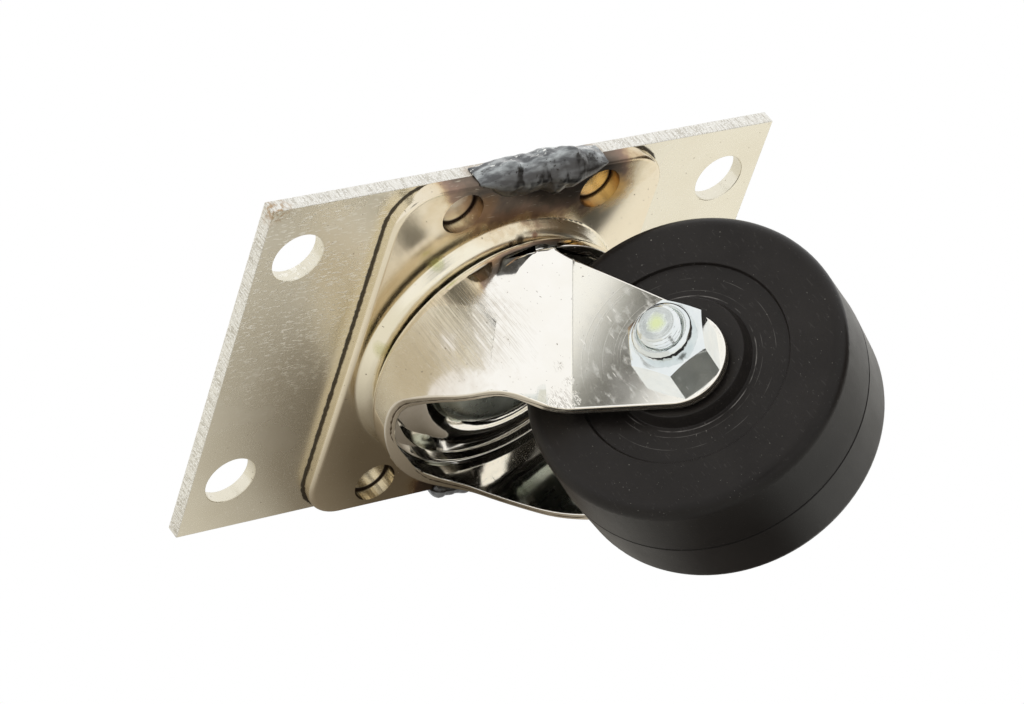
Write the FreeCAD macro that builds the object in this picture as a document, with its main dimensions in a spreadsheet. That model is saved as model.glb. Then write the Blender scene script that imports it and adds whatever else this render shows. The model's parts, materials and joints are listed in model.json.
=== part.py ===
import FreeCAD, Part
import math
import os

import Sketcher
from FreeCAD import Placement, Rotation, Vector

# Swivel castor with a round cornered castor plate welded under a larger drilled adapter plate.
# The mounting face is the plane Z = 0 and the castor hangs below it. The origin is where the
# swivel axis meets that face. X runs along the long side of the adapter plate.

document = FreeCAD.newDocument("top_plate_castor")

# Driving dimensions in millimetres
DIMENSIONS = [
    ("adapter_length", 139.7, "long side of the adapter plate"),
    ("adapter_width", 96.4, "short side of the adapter plate"),
    ("adapter_thickness", 3.6, "sheet of the adapter plate"),
    ("adapter_hole_edge_x", 10.75, "hole centre in from the short edge"),
    ("adapter_hole_edge_y", 15.15, "hole centre in from the long edge"),
    ("adapter_hole_radius", 6.5, "round mounting hole"),
    ("castor_plate_length", 75.0, "castor plate along X, its width is the adapter's"),
    ("castor_plate_sheet", 3.6, "sheet of the castor plate"),
    ("castor_plate_corner", 10.5, "corner radius seen from below"),
    ("castor_plate_edge_round", 1.3, "worn round on the lower edge"),
    ("castor_hole_edge_x", 18.35, "unused hole centre in from the edge, along X"),
    ("castor_hole_edge_y", 7.7, "unused hole centre in from the edge, along Y"),
    ("castor_hole_radius", 5.4, "unused round hole"),
    ("boss_height", 3.2, "how far the pressed race boss stands proud"),
    ("boss_inner_angle", 43.9, "slope from the upper race out to the crest of the boss"),
    ("boss_crest_width", 1.7, "flat run on the crest of the boss"),
    ("boss_outer_angle", 51.8, "slope from that crest out to the root"),
    ("boss_crest_round", 0.3, "inside round of the sheet at the crest"),
    ("boss_root_round", 0.8, "inside round of the sheet at the root"),
    ("lower_ball_radius", 1.984, "ball of five thirty-seconds of an inch"),
    ("upper_ball_radius", 3.175, "quarter inch ball"),
    ("ball_clearance", 0.06, "between a ball and its groove"),
    ("ball_gap", 0.15, "between neighbouring balls"),
    ("crown_gap", 1.2, "slit between the boss and the fork"),
    ("fork_sheet", 2.7, "sheet of the fork"),
    ("crown_race_angle", 38.0, "slope of the crown between its two ball grooves"),
    ("crown_rim_angle", 22.5, "slope from the upper groove out to the crown's flat rim"),
    ("crown_rim_round", 0.6, "inside round of the sheet where that rim begins"),
    ("crown_rim_width", 5.7, "from there out to the face of the skirt"),
    ("crown_bend_radius", 3.6, "outside radius where crown turns into skirt"),
    ("crown_lip_run", 4.5, "from the lip round the king pin out to the lower ball circle"),
    ("crown_lip_rise", 1.0, "middle of that lip above the lower ball centres"),
    ("skirt_overlap", 1.8, "straight skirt under the crown bend before the walls join it"),
    ("skirt_depth", 19.5, "front rim of the skirt below the mounting face"),
    ("rim_corner_radius", 11.2, "front rim turning down into the lower edge of a leg"),
    ("rim_corner_setback", 1.9, "centre of that curve behind the front of the skirt"),
    ("leg_face_offset", 23.1, "outer face of a flat leg from the middle plane"),
    ("leg_end_radius", 11.4, "round end of a leg"),
    ("leg_end_lead", 0.8, "centre of that round end ahead of the axle"),
    ("leg_end_drop", 2.0, "centre of that round end below the axle"),
    ("rear_edge_setback", 10.9, "top of the rear edge in from the back of the skirt"),
    ("rear_edge_rise", 0.6, "top of the rear edge above the foot of the skirt's bend"),
    ("leg_bend_radius", 7.0, "outside radius where a leg turns into the skirt"),
    ("leg_corner_inset", 0.6, "flat and sloping wall would meet this far inside the skirt's foot"),
    ("leg_bend_angle", 53.0, "slope of the wall between flat and skirt"),
    ("leg_heel_radius", 40.0, "long curve of the lower edge"),
    ("leg_heel_bulge", 2.47, "that curve beyond a straight run from front rim to leg end"),
    ("leg_heel_share", 0.3185, "its place along that run, as a share of the run"),
    ("brow_round_top", 0.6, "outside round where that wall meets the skirt, at the crown"),
    ("brow_inner_top", 0.3, "the same round on the inside of the sheet, at the crown"),
    ("brow_round_low", 9.0, "outside round down at the axle's level"),
    ("leg_sweep_angle", 35.1, "sweep of the leg flats below the horizontal"),
    ("trail", 29.5, "axle behind the swivel axis"),
    ("axle_depth", 57.5, "axle below the mounting face"),
    ("rest_angle", -41.5, "swivel angle in which the castor is shown"),
    ("pin_radius", 6.0, "shank of the king pin"),
    ("pin_collar_radius", 7.5, "shoulder of the king pin between plate and cup"),
    ("pin_head_radius", 8.6, "riveted head under the cup"),
    ("pin_head_height", 2.8, "height of that head"),
    ("crown_hole_clearance", 2.2, "radial, between the fork and the pin's collar"),
    ("cup_sheet", 1.8, "sheet of the lower race cup"),
    ("cup_rim_run", 3.5, "from the lower ball circle out to the cup's raised rim"),
    ("cup_rim_drop", 0.9, "middle of that rim below the lower ball centres"),
    ("lower_race_drop", 0.3, "lower ball centres above the underside of the flat crown"),
    ("wheel_radius", 38.1, "three inch wheel"),
    ("wheel_half_width", 17.2, "rim face from the middle plane"),
    ("wheel_shoulder_round", 3.4, "round between tread and rim face"),
    ("wheel_tread_crown", 0.5, "fall of the tread from middle to shoulder"),
    ("web_radius", 24.6, "edge of the sunk web"),
    ("web_sink", 0.95, "web below the rim face"),
    ("web_wall_run", 0.3, "draft of the wall between web and rim face"),
    ("hub_radius", 14.9, "hub boss at its face"),
    ("hub_foot_radius", 16.1, "hub boss at its foot"),
    ("hub_half_width", 19.5, "hub boss face from the middle plane"),
    ("parting_depth", 0.25, "parting line round the tread"),
    ("sleeve_radius", 7.9, "axle sleeve the wheel turns on"),
    ("running_clearance", 0.05, "radial, between sleeve and wheel"),
    ("bolt_radius", 4.95, "ten millimetre axle bolt"),
    ("bolt_clearance", 0.2, "radial, in the holes of the legs"),
    ("slip_clearance", 0.05, "radial, bolt to sleeve and nut"),
    ("bolt_tip_bevel", 1.0, "bevel at the end of the thread"),
    ("hex_flats", 17.0, "across the flats of nut and bolt head"),
    ("bolt_head_height", 6.4, "hexagon head of the axle bolt"),
    ("bolt_overhang", 2.6, "thread standing out of the nut"),
    ("nut_hex_height", 6.3, "hexagon part of the lock nut"),
    ("nut_height", 10.0, "lock nut with its collar"),
    ("nut_collar_radius", 6.9, "collar round the insert"),
    ("nut_collar_bevel", 0.9, "bevel on the rim of the collar"),
    ("insert_radius", 5.95, "outside of the nylon insert"),
    ("insert_height", 2.3, "nylon insert"),
    ("insert_depth", 0.5, "lip of the collar above the insert"),
    ("insert_snugness", 0.02, "radial, insert to bolt and collar"),
    ("weld_reach", 3.6, "bead standing out from the plate edge at its thickest"),
    ("weld_root", 1.5, "bead running in under the plates' bevels"),
    ("weld_rise", 1.2, "top of the bead below the mounting face"),
]

sheet = document.addObject("Spreadsheet::Sheet", "dimensions")
for row, (alias, value, note) in enumerate(DIMENSIONS, start=1):
    sheet.set(f"A{row}", note)
    sheet.set(f"B{row}", str(value))
    sheet.setAlias(f"B{row}", alias)
document.recompute()


def size(alias):
    """One driving dimension, read back from the sheet."""
    return float(sheet.get(alias))


UP = Vector(0, 0, 1)
REST = Placement(Vector(0, 0, 0), Rotation(UP, size("rest_angle")))
FAR = 200.0
BOSS_MARGIN = 1.0

# Levels, as Z of the row
adapter_under = -size("adapter_thickness")
plate_under = adapter_under - size("castor_plate_sheet")
plate_middle = adapter_under - size("castor_plate_sheet") / 2
boss_under = plate_under - size("boss_height")
crown_top = boss_under - size("crown_gap")
crown_middle = crown_top - size("fork_sheet") / 2
upper_groove = size("upper_ball_radius") + size("ball_clearance")
lower_groove = size("lower_ball_radius") + size("ball_clearance")
upper_ball_level = plate_under - upper_groove
lower_ball_level = crown_top - size("fork_sheet") + size("lower_race_drop")
skirt_top = crown_top - size("crown_bend_radius") - size("skirt_overlap")
leg_inner = size("leg_face_offset") - size("fork_sheet")
axle_level = -size("axle_depth")

finished = []


def finish(item, label, turned=False):
    """Name an object as one finished piece and put it at its rest pose."""
    item.Label = label
    if turned:
        item.Placement = REST.multiply(item.Placement)
    finished.append(item)
    return item


# Small helpers for the document


def feature(name, shape):
    """A plain feature that holds a computed shape."""
    item = document.addObject("Part::Feature", name)
    item.Shape = shape
    return item


def bound(kind, name, **expressions):
    """A Part primitive whose properties follow expressions on the sheet."""
    item = document.addObject(kind, name)
    for prop, expression in expressions.items():
        item.setExpression(prop, expression)
    return item


def cut(name, base, tool):
    item = document.addObject("Part::Cut", name)
    item.Base = base
    item.Tool = tool
    return item


def fuse(name, items):
    item = document.addObject("Part::MultiFuse", name)
    item.Shapes = items
    item.Refine = True
    return item


def revolved(name, face):
    """A solid of revolution about Z from a face in the XZ plane."""
    profile = feature(name + "_profile", face)
    item = document.addObject("Part::Revolution", name)
    item.Source = profile
    item.Axis = UP
    item.Base = Vector(0, 0, 0)
    item.Angle = 360
    item.Solid = True
    return item


# Outlines that run tangent round a row of circles
# A station is (a, b, bend): the centre of a circle and its signed radius, positive where the
# outline turns left. An end point is a circle of radius 0.


def tangent_runs(stations, offset):
    """Straight runs that touch each circle and the next, moved left by offset."""
    runs = []
    for (a1, b1, bend1), (a2, b2, bend2) in zip(stations, stations[1:]):
        r1 = bend1 - offset
        r2 = bend2 - offset
        span = math.hypot(a2 - a1, b2 - b1)
        angle = math.atan2(b2 - b1, a2 - a1) - math.asin((r2 - r1) / span)
        normal = (-math.sin(angle), math.cos(angle))
        start = (a1 - r1 * normal[0], b1 - r1 * normal[1])
        end = (a2 - r2 * normal[0], b2 - r2 * normal[1])
        runs.append((start, end))
    return runs


def outline(stations, offset, place):
    """Edges of the tangent outline; place turns a pair (a, b) into a point."""
    runs = tangent_runs(stations, offset)
    edges = []
    for index, (start, end) in enumerate(runs):
        edges.append(Part.LineSegment(place(*start), place(*end)).toShape())
        if index + 1 < len(runs):
            a, b, bend = stations[index + 1]
            after = runs[index + 1][0]
            middle = (end[0] + after[0] - 2 * a, end[1] + after[1] - 2 * b)
            scale = abs(bend - offset) / math.hypot(*middle)
            through = (a + middle[0] * scale, b + middle[1] * scale)
            edges.append(Part.Arc(place(*end), place(*through), place(*after)).toShape())
    return edges


def closed_face(edges, *corners):
    """Close a run of edges through extra corners and fill it."""
    chain = [edges[-1].Vertexes[-1].Point, *corners, edges[0].Vertexes[0].Point]
    lines = [Part.makeLine(p, q) for p, q in zip(chain, chain[1:]) if (p - q).Length > 1e-6]
    return Part.Face(Part.Wire(edges + lines))


def in_section(radius, level):
    """A point of a half section through the Z axis."""
    return Vector(radius, 0, level)


def pressed_sheet(stations, thickness):
    """Half section of one pressed sheet whose middle line follows the stations."""
    left = outline(stations, thickness / 2, in_section)
    right = outline(stations, -thickness / 2, in_section)
    first = Part.makeLine(right[0].Vertexes[0].Point, left[0].Vertexes[0].Point)
    last = Part.makeLine(left[-1].Vertexes[-1].Point, right[-1].Vertexes[-1].Point)
    return Part.Face(Part.Wire([first, *left, last, *reversed(right)]))


def polygon_section(points):
    """Half section from a plain list of (radius, level) corners."""
    corners = [in_section(*point) for point in points]
    return Part.Face(Part.makePolygon(corners + corners[:1]))


def run_between(bend, next_bend, climb, angle):
    """How far out the next circle lies, for a straight of that angle, in degrees, between the two.

    climb is how much higher the next centre is, and a downward angle is negative.
    """
    slope = math.radians(angle)
    straight = (climb - (next_bend - bend) * math.cos(slope)) / math.sin(slope)
    return straight * math.cos(slope) - (next_bend - bend) * math.sin(slope)


# Where the two ball rows, the boss and the skirt lie, worked outwards from the king pin

fork_half = size("fork_sheet") / 2
plate_half = size("castor_plate_sheet") / 2
crest_bend = plate_half + size("boss_crest_round")
crest_level = boss_under + plate_half + crest_bend
root_bend = plate_half + size("boss_root_round")
root_level = plate_middle - root_bend
rim_foot_bend = fork_half + size("crown_rim_round")
rim_foot_level = crown_middle - rim_foot_bend

crown_lip = size("pin_collar_radius") + size("crown_hole_clearance")
lower_race = crown_lip + size("crown_lip_run")
upper_race = lower_race + run_between(
    -(lower_groove + fork_half),
    upper_groove + fork_half,
    upper_ball_level - lower_ball_level,
    -size("crown_race_angle"),
)
crest_inside = upper_race + run_between(
    -(upper_groove + plate_half),
    crest_bend,
    crest_level - upper_ball_level,
    -size("boss_inner_angle"),
)
crest_outside = crest_inside + size("boss_crest_width")
boss_root = crest_outside + run_between(
    crest_bend, -root_bend, root_level - crest_level, size("boss_outer_angle")
)
rim_foot = upper_race + run_between(
    upper_groove + fork_half,
    -rim_foot_bend,
    rim_foot_level - upper_ball_level,
    size("crown_rim_angle"),
)
fork_radius = rim_foot + size("crown_rim_width")
rear_notch = (fork_radius - size("rear_edge_setback"), skirt_top + size("rear_edge_rise"))
print(f"upper race {upper_race:.2f}, boss root {boss_root:.2f}, fork radius {fork_radius:.2f}")

# Adapter plate: a sheared rectangle with four round holes


def centred_rectangle(sketch, length, width):
    """A rectangle about the sketch origin, bound to two aliases."""
    dx = size(length) / 2
    dy = size(width) / 2
    corners = [Vector(-dx, -dy, 0), Vector(dx, -dy, 0), Vector(dx, dy, 0), Vector(-dx, dy, 0)]
    for index in range(4):
        sketch.addGeometry(Part.LineSegment(corners[index], corners[(index + 1) % 4]))
    for index in range(4):
        sketch.addConstraint(Sketcher.Constraint("Coincident", index, 2, (index + 1) % 4, 1))
        kind = "Horizontal" if index % 2 == 0 else "Vertical"
        sketch.addConstraint(Sketcher.Constraint(kind, index))
    sketch.addConstraint(Sketcher.Constraint("Symmetric", 0, 1, 2, 1, -1, 1))
    across = sketch.addConstraint(Sketcher.Constraint("Distance", 0, 2 * dx))
    sketch.setExpression(f"Constraints[{across}]", f"dimensions.{length}")
    along = sketch.addConstraint(Sketcher.Constraint("Distance", 1, 2 * dy))
    sketch.setExpression(f"Constraints[{along}]", f"dimensions.{width}")


def four_circles(sketch, along_x, along_y, radius):
    """Four equal circles at the corners of a rectangle whose half sides are expressions."""
    for index, (sx, sy) in enumerate(((-1, -1), (1, -1), (1, 1), (-1, 1))):
        centre = Vector(sx, sy, 0) * size(radius) * 2
        sketch.addGeometry(Part.Circle(centre, Vector(0, 0, 1), size(radius)))
        across = sketch.addConstraint(Sketcher.Constraint("DistanceX", -1, 1, index, 3, centre.x))
        sketch.setExpression(f"Constraints[{across}]", f"{sx} * ({along_x})")
        along = sketch.addConstraint(Sketcher.Constraint("DistanceY", -1, 1, index, 3, centre.y))
        sketch.setExpression(f"Constraints[{along}]", f"{sy} * ({along_y})")
        round_size = sketch.addConstraint(Sketcher.Constraint("Radius", index, size(radius)))
        sketch.setExpression(f"Constraints[{round_size}]", f"dimensions.{radius}")


def plane_sketch(body, name, role, offset=None):
    """A sketch on one of the body's own origin planes."""
    plane = next(item for item in body.Origin.OriginFeatures if item.Role == role)
    sketch = body.newObject("Sketcher::SketchObject", name)
    sketch.AttachmentSupport = [(plane, "")]
    sketch.MapMode = "FlatFace"
    if offset:
        sketch.setExpression("AttachmentOffset.Base.z", offset)
    return sketch


def make_adapter_plate():
    body = document.addObject("PartDesign::Body", "adapter_body")
    edge = plane_sketch(body, "adapter_outline", "XY_Plane")
    centred_rectangle(edge, "adapter_length", "adapter_width")
    plate = body.newObject("PartDesign::Pad", "adapter_pad")
    plate.Profile = edge
    plate.Reversed = True
    plate.setExpression("Length", "dimensions.adapter_thickness")
    document.recompute()
    holes = plane_sketch(body, "adapter_holes", "XY_Plane")
    four_circles(
        holes,
        "dimensions.adapter_length / 2 - dimensions.adapter_hole_edge_x",
        "dimensions.adapter_width / 2 - dimensions.adapter_hole_edge_y",
        "adapter_hole_radius",
    )
    drilled = body.newObject("PartDesign::Pocket", "adapter_drilled")
    drilled.Profile = holes
    drilled.Type = 1
    drilled.Midplane = True
    document.recompute()
    return finish(body, "adapter_plate")


# Castor plate: a rounded plate with a pressed boss that is the upper half of the upper race


def race_boss_stations():
    """Middle line of the pressed sheet, from the king pin out to the flat of the plate."""
    return [
        (size("pin_radius"), plate_middle, 0),
        (upper_race, upper_ball_level, -(upper_groove + plate_half)),
        (crest_inside, crest_level, crest_bend),
        (crest_outside, crest_level, crest_bend),
        (boss_root, root_level, -root_bend),
        (boss_root + BOSS_MARGIN, plate_middle, 0),
    ]


def make_castor_plate():
    blank = bound(
        "Part::Box",
        "castor_blank",
        Length="dimensions.castor_plate_length",
        Width="dimensions.adapter_width",
        Height="dimensions.castor_plate_sheet",
    )
    blank.setExpression("Placement.Base.x", "-dimensions.castor_plate_length / 2")
    blank.setExpression("Placement.Base.y", "-dimensions.adapter_width / 2")
    blank.setExpression(
        "Placement.Base.z", "-dimensions.adapter_thickness - dimensions.castor_plate_sheet"
    )
    document.recompute()
    rounded = document.addObject("Part::Fillet", "castor_corners")
    rounded.Base = blank
    corner = size("castor_plate_corner")
    rounded.Edges = [
        (index, corner, corner)
        for index, edge in enumerate(blank.Shape.Edges, start=1)
        if abs(edge.tangentAt(edge.FirstParameter).z) > 0.9
    ]
    document.recompute()
    softened = document.addObject("Part::Fillet", "castor_edge")
    softened.Base = rounded
    edge_round = size("castor_plate_edge_round")
    softened.Edges = [
        (index, edge_round, edge_round)
        for index, edge in enumerate(rounded.Shape.Edges, start=1)
        if edge.BoundBox.ZMax < plate_under + 0.01
    ]
    opening = bound("Part::Cylinder", "boss_opening")
    opening.Radius = boss_root + BOSS_MARGIN
    opening.Height = FAR
    opening.Placement.Base = Vector(0, 0, -FAR / 2)
    ring = cut("castor_ring", softened, opening)
    boss = revolved("race_boss", pressed_sheet(race_boss_stations(), size("castor_plate_sheet")))
    plate = fuse("castor_pressing", [ring, boss])
    along_x = "dimensions.castor_plate_length / 2 - dimensions.castor_hole_edge_x"
    along_y = "dimensions.adapter_width / 2 - dimensions.castor_hole_edge_y"
    drills = []
    for sx in (-1, 1):
        for sy in (-1, 1):
            drill = bound("Part::Cylinder", "castor_drill", Radius="dimensions.castor_hole_radius")
            drill.Height = FAR
            drill.setExpression("Placement.Base.x", f"{sx} * ({along_x})")
            drill.setExpression("Placement.Base.y", f"{sy} * ({along_y})")
            drill.Placement.Base.z = -FAR / 2
            drills.append(drill)
    drilled = cut("castor_drilled", plate, fuse("castor_drills", drills))
    document.recompute()
    return finish(drilled, "castor_plate")


# Fork: one sheet pressed into a crown with two ball grooves, a round skirt and two swept legs


def crown_stations():
    """Middle line of the crown, from the king pin hole out and down into the skirt."""
    bend = size("crown_bend_radius") - fork_half
    skirt_middle = fork_radius - fork_half
    return [
        (crown_lip, lower_ball_level + size("crown_lip_rise"), 0),
        (lower_race, lower_ball_level, -(lower_groove + fork_half)),
        (upper_race, upper_ball_level, upper_groove + fork_half),
        (rim_foot, rim_foot_level, -rim_foot_bend),
        (skirt_middle - bend, crown_middle - bend, -bend),
        (skirt_middle, skirt_top, 0),
    ]


def side_stations():
    """Side view of the skirt and legs: front rim, lower edge, round end, rear edge."""
    rim = -size("skirt_depth")
    corner_radius = size("rim_corner_radius")
    front = size("rim_corner_setback") - fork_radius
    corner = (front, rim - corner_radius, -corner_radius)
    end_a = size("trail") - size("leg_end_lead")
    end = (end_a, axle_level - size("leg_end_drop"), size("leg_end_radius"))
    return [(-FAR, rim, 0), corner, heel_station(corner, end), end, (*rear_notch, 0)]


def heel_station(corner, end):
    """The long curve of the lower edge, which bulges out of the straight run past its ends."""
    (a1, b1), (a2, b2) = tangent_runs([corner, end], 0)[0]
    length = math.hypot(a2 - a1, b2 - b1)
    ahead = ((a2 - a1) / length, (b2 - b1) / length)
    travel = size("leg_heel_share") * length
    inward = size("leg_heel_radius") - size("leg_heel_bulge")
    a = a1 + ahead[0] * travel - ahead[1] * inward
    b = b1 + ahead[1] * travel + ahead[0] * inward
    return (a, b, size("leg_heel_radius"))


def leg_side_tool(name, side, offset):
    """Everything outside one leg: flat beside the wheel, then bent out past the skirt."""
    sweep = math.radians(size("leg_sweep_angle"))
    slope = math.radians(size("leg_bend_angle"))
    along = Vector(math.cos(sweep), 0, -math.sin(sweep))
    across = Vector(math.sin(sweep), 0, math.cos(sweep))
    bend = size("leg_bend_radius")
    face = size("leg_face_offset")
    corner = math.sqrt((fork_radius - size("leg_corner_inset")) ** 2 - face**2)
    start = corner * math.cos(sweep) + bend * math.tan(slope / 2)
    reach = 2 * fork_radius
    tip = (start - bend * math.sin(slope), face + bend * (1 - math.cos(slope)))
    tip_end = (tip[0] - reach * math.cos(slope), tip[1] + reach * math.sin(slope))
    stations = [(FAR, face, 0), (start, face + bend, -bend), (*tip_end, 0)]

    def place(travel, width):
        return Vector(0, side * width, skirt_top) + along * travel - across * FAR

    edges = outline(stations, offset, place)
    top = edges[-1].Vertexes[-1].Point
    shift = Vector(0, side * FAR, 0)
    face_shape = closed_face(edges, top + shift, edges[0].Vertexes[0].Point + shift)
    return feature(name, face_shape.extrude(across * 2 * FAR))


def fork_envelope(name, inset):
    """Solid outside of the fork for inset 0, or its cavity for an inset of one sheet."""
    distance = 0.0 if inset == "0" else size("fork_sheet")
    column = bound("Part::Cylinder", name + "_column")
    column.Radius = fork_radius - distance
    column.Height = skirt_top - axle_level + 2 * distance
    column.Placement.Base.z = axle_level - distance
    legs = bound("Part::Box", name + "_legs", Width=f"2 * (dimensions.leg_face_offset - {inset})")
    legs.Length = FAR + distance
    legs.setExpression("Placement.Base.y", f"{inset} - dimensions.leg_face_offset")
    legs.Height = FAR + 2 * distance
    legs.Placement.Base.z = skirt_top + distance - legs.Height.Value
    sides = [leg_side_tool(f"{name}_side_{side}", side, distance) for side in (-1, 1)]
    waisted = cut(name + "_waisted", column, fuse(name + "_sides", sides))
    sharp = fuse(name + "_sharp", [waisted, legs])
    document.recompute()
    round_top = size("brow_inner_top" if distance else "brow_round_top")
    round_low = size("brow_round_low") - distance
    rounded = document.addObject("Part::Fillet", name)
    rounded.Base = sharp
    rounded.Edges = [(index, round_top, round_low) for index in brow_edges(sharp.Shape)]
    return rounded


def brow_edges(shape):
    """The long ellipses, from the top down, where the sloping walls meet the skirt."""
    return [
        index
        for index, edge in enumerate(shape.Edges, start=1)
        if edge.Curve.TypeId == "Part::GeomEllipse" and edge.Length > fork_radius
    ]


def make_fork():
    outside = fork_envelope("fork_outside", "0")
    cavity = fork_envelope("fork_cavity", "dimensions.fork_sheet")
    shell = cut("fork_shell", outside, cavity)
    edges = outline(side_stations(), 0, lambda a, b: Vector(a, -FAR / 2, b))
    lid = 5.0
    face = closed_face(edges, Vector(rear_notch[0], -FAR / 2, lid), Vector(-FAR, -FAR / 2, lid))
    keep = feature("fork_side_view", face.extrude(Vector(0, FAR, 0)))
    walls = document.addObject("Part::Common", "fork_walls")
    walls.Base = shell
    walls.Tool = keep
    crown = revolved("fork_crown", pressed_sheet(crown_stations(), size("fork_sheet")))
    pressed = fuse("fork_pressing", [crown, walls])
    hole = bound(
        "Part::Cylinder", "axle_hole", Radius="dimensions.bolt_radius + dimensions.bolt_clearance"
    )
    hole.Height = FAR
    hole.Placement = Placement(
        Vector(size("trail"), FAR / 2, axle_level), Rotation(Vector(1, 0, 0), 90)
    )
    drilled = cut("fork_drilled", pressed, hole)
    document.recompute()
    return finish(drilled, "fork", turned=True)


# King pin and lower race cup


def cup_stations():
    half = size("cup_sheet") / 2
    bend = lower_groove + half
    return [
        (size("pin_radius"), lower_ball_level - bend, 0),
        (lower_race, lower_ball_level, bend),
        (lower_race + size("cup_rim_run"), lower_ball_level - size("cup_rim_drop"), 0),
    ]


def make_lower_race_cup():
    cup = revolved("cup_pressing", pressed_sheet(cup_stations(), size("cup_sheet")))
    return finish(cup, "lower_race_cup")


def make_king_pin():
    cup_top = lower_ball_level - lower_groove
    cup_under = cup_top - size("cup_sheet")
    pin = size("pin_radius")
    collar = size("pin_collar_radius")
    head = size("pin_head_radius")
    height = size("pin_head_height")
    bottom = cup_under - height
    crest = head / 2
    lip = cup_under - height / 4
    dome = Part.Arc(
        in_section(head, lip),
        in_section(crest + (head - crest) * 0.66, bottom + (lip - bottom) * 0.3),
        in_section(crest, bottom),
    )
    corners = [
        (crest, bottom),
        (0, bottom),
        (0, adapter_under),
        (pin, adapter_under),
        (pin, plate_under),
        (collar, plate_under),
        (collar, cup_top),
        (pin, cup_top),
        (pin, cup_under),
        (head, cup_under),
        (head, lip),
    ]
    points = [in_section(*corner) for corner in corners]
    lines = [Part.makeLine(p, q) for p, q in zip(points, points[1:])]
    face = Part.Face(Part.Wire([*lines, dome.toShape()]))
    return finish(revolved("king_pin_rivet", face), "king_pin")


# Balls: separate facetted solids, because a full row of true spheres would be very heavy


def facetted_ball(radius, sides=8, bands=5):
    """A ball of flat facets whose corners all lie on the sphere."""
    rings = []
    for band in range(1, bands):
        tilt = math.pi * band / bands
        level = radius * math.cos(tilt)
        reach = radius * math.sin(tilt)
        turns = [2 * math.pi * side / sides for side in range(sides)]
        rings.append([Vector(reach * math.cos(t), reach * math.sin(t), level) for t in turns])
    top = Vector(0, 0, radius)
    bottom = Vector(0, 0, -radius)
    facets = []
    for side in range(sides):
        after = (side + 1) % sides
        facets.append([top, rings[0][side], rings[0][after]])
        facets.append([bottom, rings[-1][after], rings[-1][side]])
        for upper, lower in zip(rings, rings[1:]):
            facets.append([upper[side], lower[side], lower[after], upper[after]])
    faces = [Part.Face(Part.makePolygon(points + points[:1])) for points in facets]
    return Part.makeSolid(Part.makeShell(faces))


def make_ball_row(label, race, ball, level):
    """A full row of balls round the swivel axis, one solid and one node each."""
    pitch = 2 * size(ball) + size("ball_gap")
    count = int(2 * math.pi * race / pitch)
    for index in range(count):
        angle = 360.0 * index / count
        item = feature(f"{label}_solid", facetted_ball(size(ball)))
        turn = Rotation(UP, angle)
        item.Placement = Placement(turn.multVec(Vector(race, 0, level)), turn)
        finish(item, f"{label}_{index + 1:02d}")


# Wheel and axle, modelled about the axle with the near side towards -Y


def about_axle(item):
    """Turn a solid made about Z so that its axis is the axle, +Z towards the near leg."""
    item.Placement = Placement(
        Vector(size("trail"), 0, axle_level), Rotation(Vector(1, 0, 0), 90)
    )
    return item


def wheel_section():
    tread = size("wheel_radius")
    face = size("wheel_half_width")
    web = face - size("web_sink")
    shoulder = size("wheel_shoulder_round")
    low_tread = tread - size("wheel_tread_crown")
    groove = size("parting_depth")
    bore = size("sleeve_radius") + size("running_clearance")
    near = [
        (bore, size("hub_half_width")),
        (size("hub_radius"), size("hub_half_width")),
        (size("hub_foot_radius"), web),
        (size("web_radius"), web),
        (size("web_radius") + size("web_wall_run"), face),
        (low_tread - shoulder, face),
    ]
    diagonal = shoulder * math.sqrt(0.5)
    middle = (low_tread - shoulder + diagonal, face - shoulder + diagonal)
    edges = []
    points = [in_section(*point) for point in near]
    edges += [Part.makeLine(p, q) for p, q in zip(points, points[1:])]
    end = in_section(low_tread, face - shoulder)
    edges.append(Part.Arc(points[-1], in_section(*middle), end).toShape())
    lip = in_section(tread, groove)
    dip = in_section(tread - groove, 0)
    edges.append(Part.makeLine(end, lip))
    edges.append(Part.makeLine(lip, dip))
    mirror = Part.Wire(edges).mirror(Vector(0, 0, 0), UP)
    closing = Part.makeLine(in_section(bore, -size("hub_half_width")), points[0])
    return Part.Face(Part.Wire(Part.sortEdges([*edges, *mirror.Edges, closing])[0]))


def make_wheel():
    wheel = about_axle(revolved("wheel_moulding", wheel_section()))
    return finish(wheel, "wheel", turned=True)


def make_axle_sleeve():
    outer = bound("Part::Cylinder", "sleeve_outside", Radius="dimensions.sleeve_radius")
    inner = bound(
        "Part::Cylinder", "sleeve_bore", Radius="dimensions.bolt_radius + dimensions.slip_clearance"
    )
    for item in (outer, inner):
        item.setExpression("Height", "2 * (dimensions.leg_face_offset - dimensions.fork_sheet)")
        item.Placement.Base = Vector(0, 0, -leg_inner)
    return finish(about_axle(cut("sleeve_tube", outer, inner)), "axle_sleeve", turned=True)


def chamfered_hexagon(name, low, height):
    """A hexagon prism about Z with its corners turned off at the far end."""
    prism = bound("Part::Prism", name + "_hex", Circumradius="dimensions.hex_flats / sqrt(3)")
    prism.Polygon = 6
    prism.Height = height
    prism.Placement.Base = Vector(0, 0, low)
    corner = size("hex_flats") / math.sqrt(3)
    flats = size("hex_flats") / 2 * 0.97
    drop = (corner - flats) * math.tan(math.radians(28))
    turned = [(0, low), (corner + 0.1, low), (corner + 0.1, low + height - drop)]
    turned += [(flats, low + height), (0, low + height)]
    shape = document.addObject("Part::Common", name)
    shape.Base = prism
    shape.Tool = revolved(name + "_turned", polygon_section(turned))
    return shape


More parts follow.
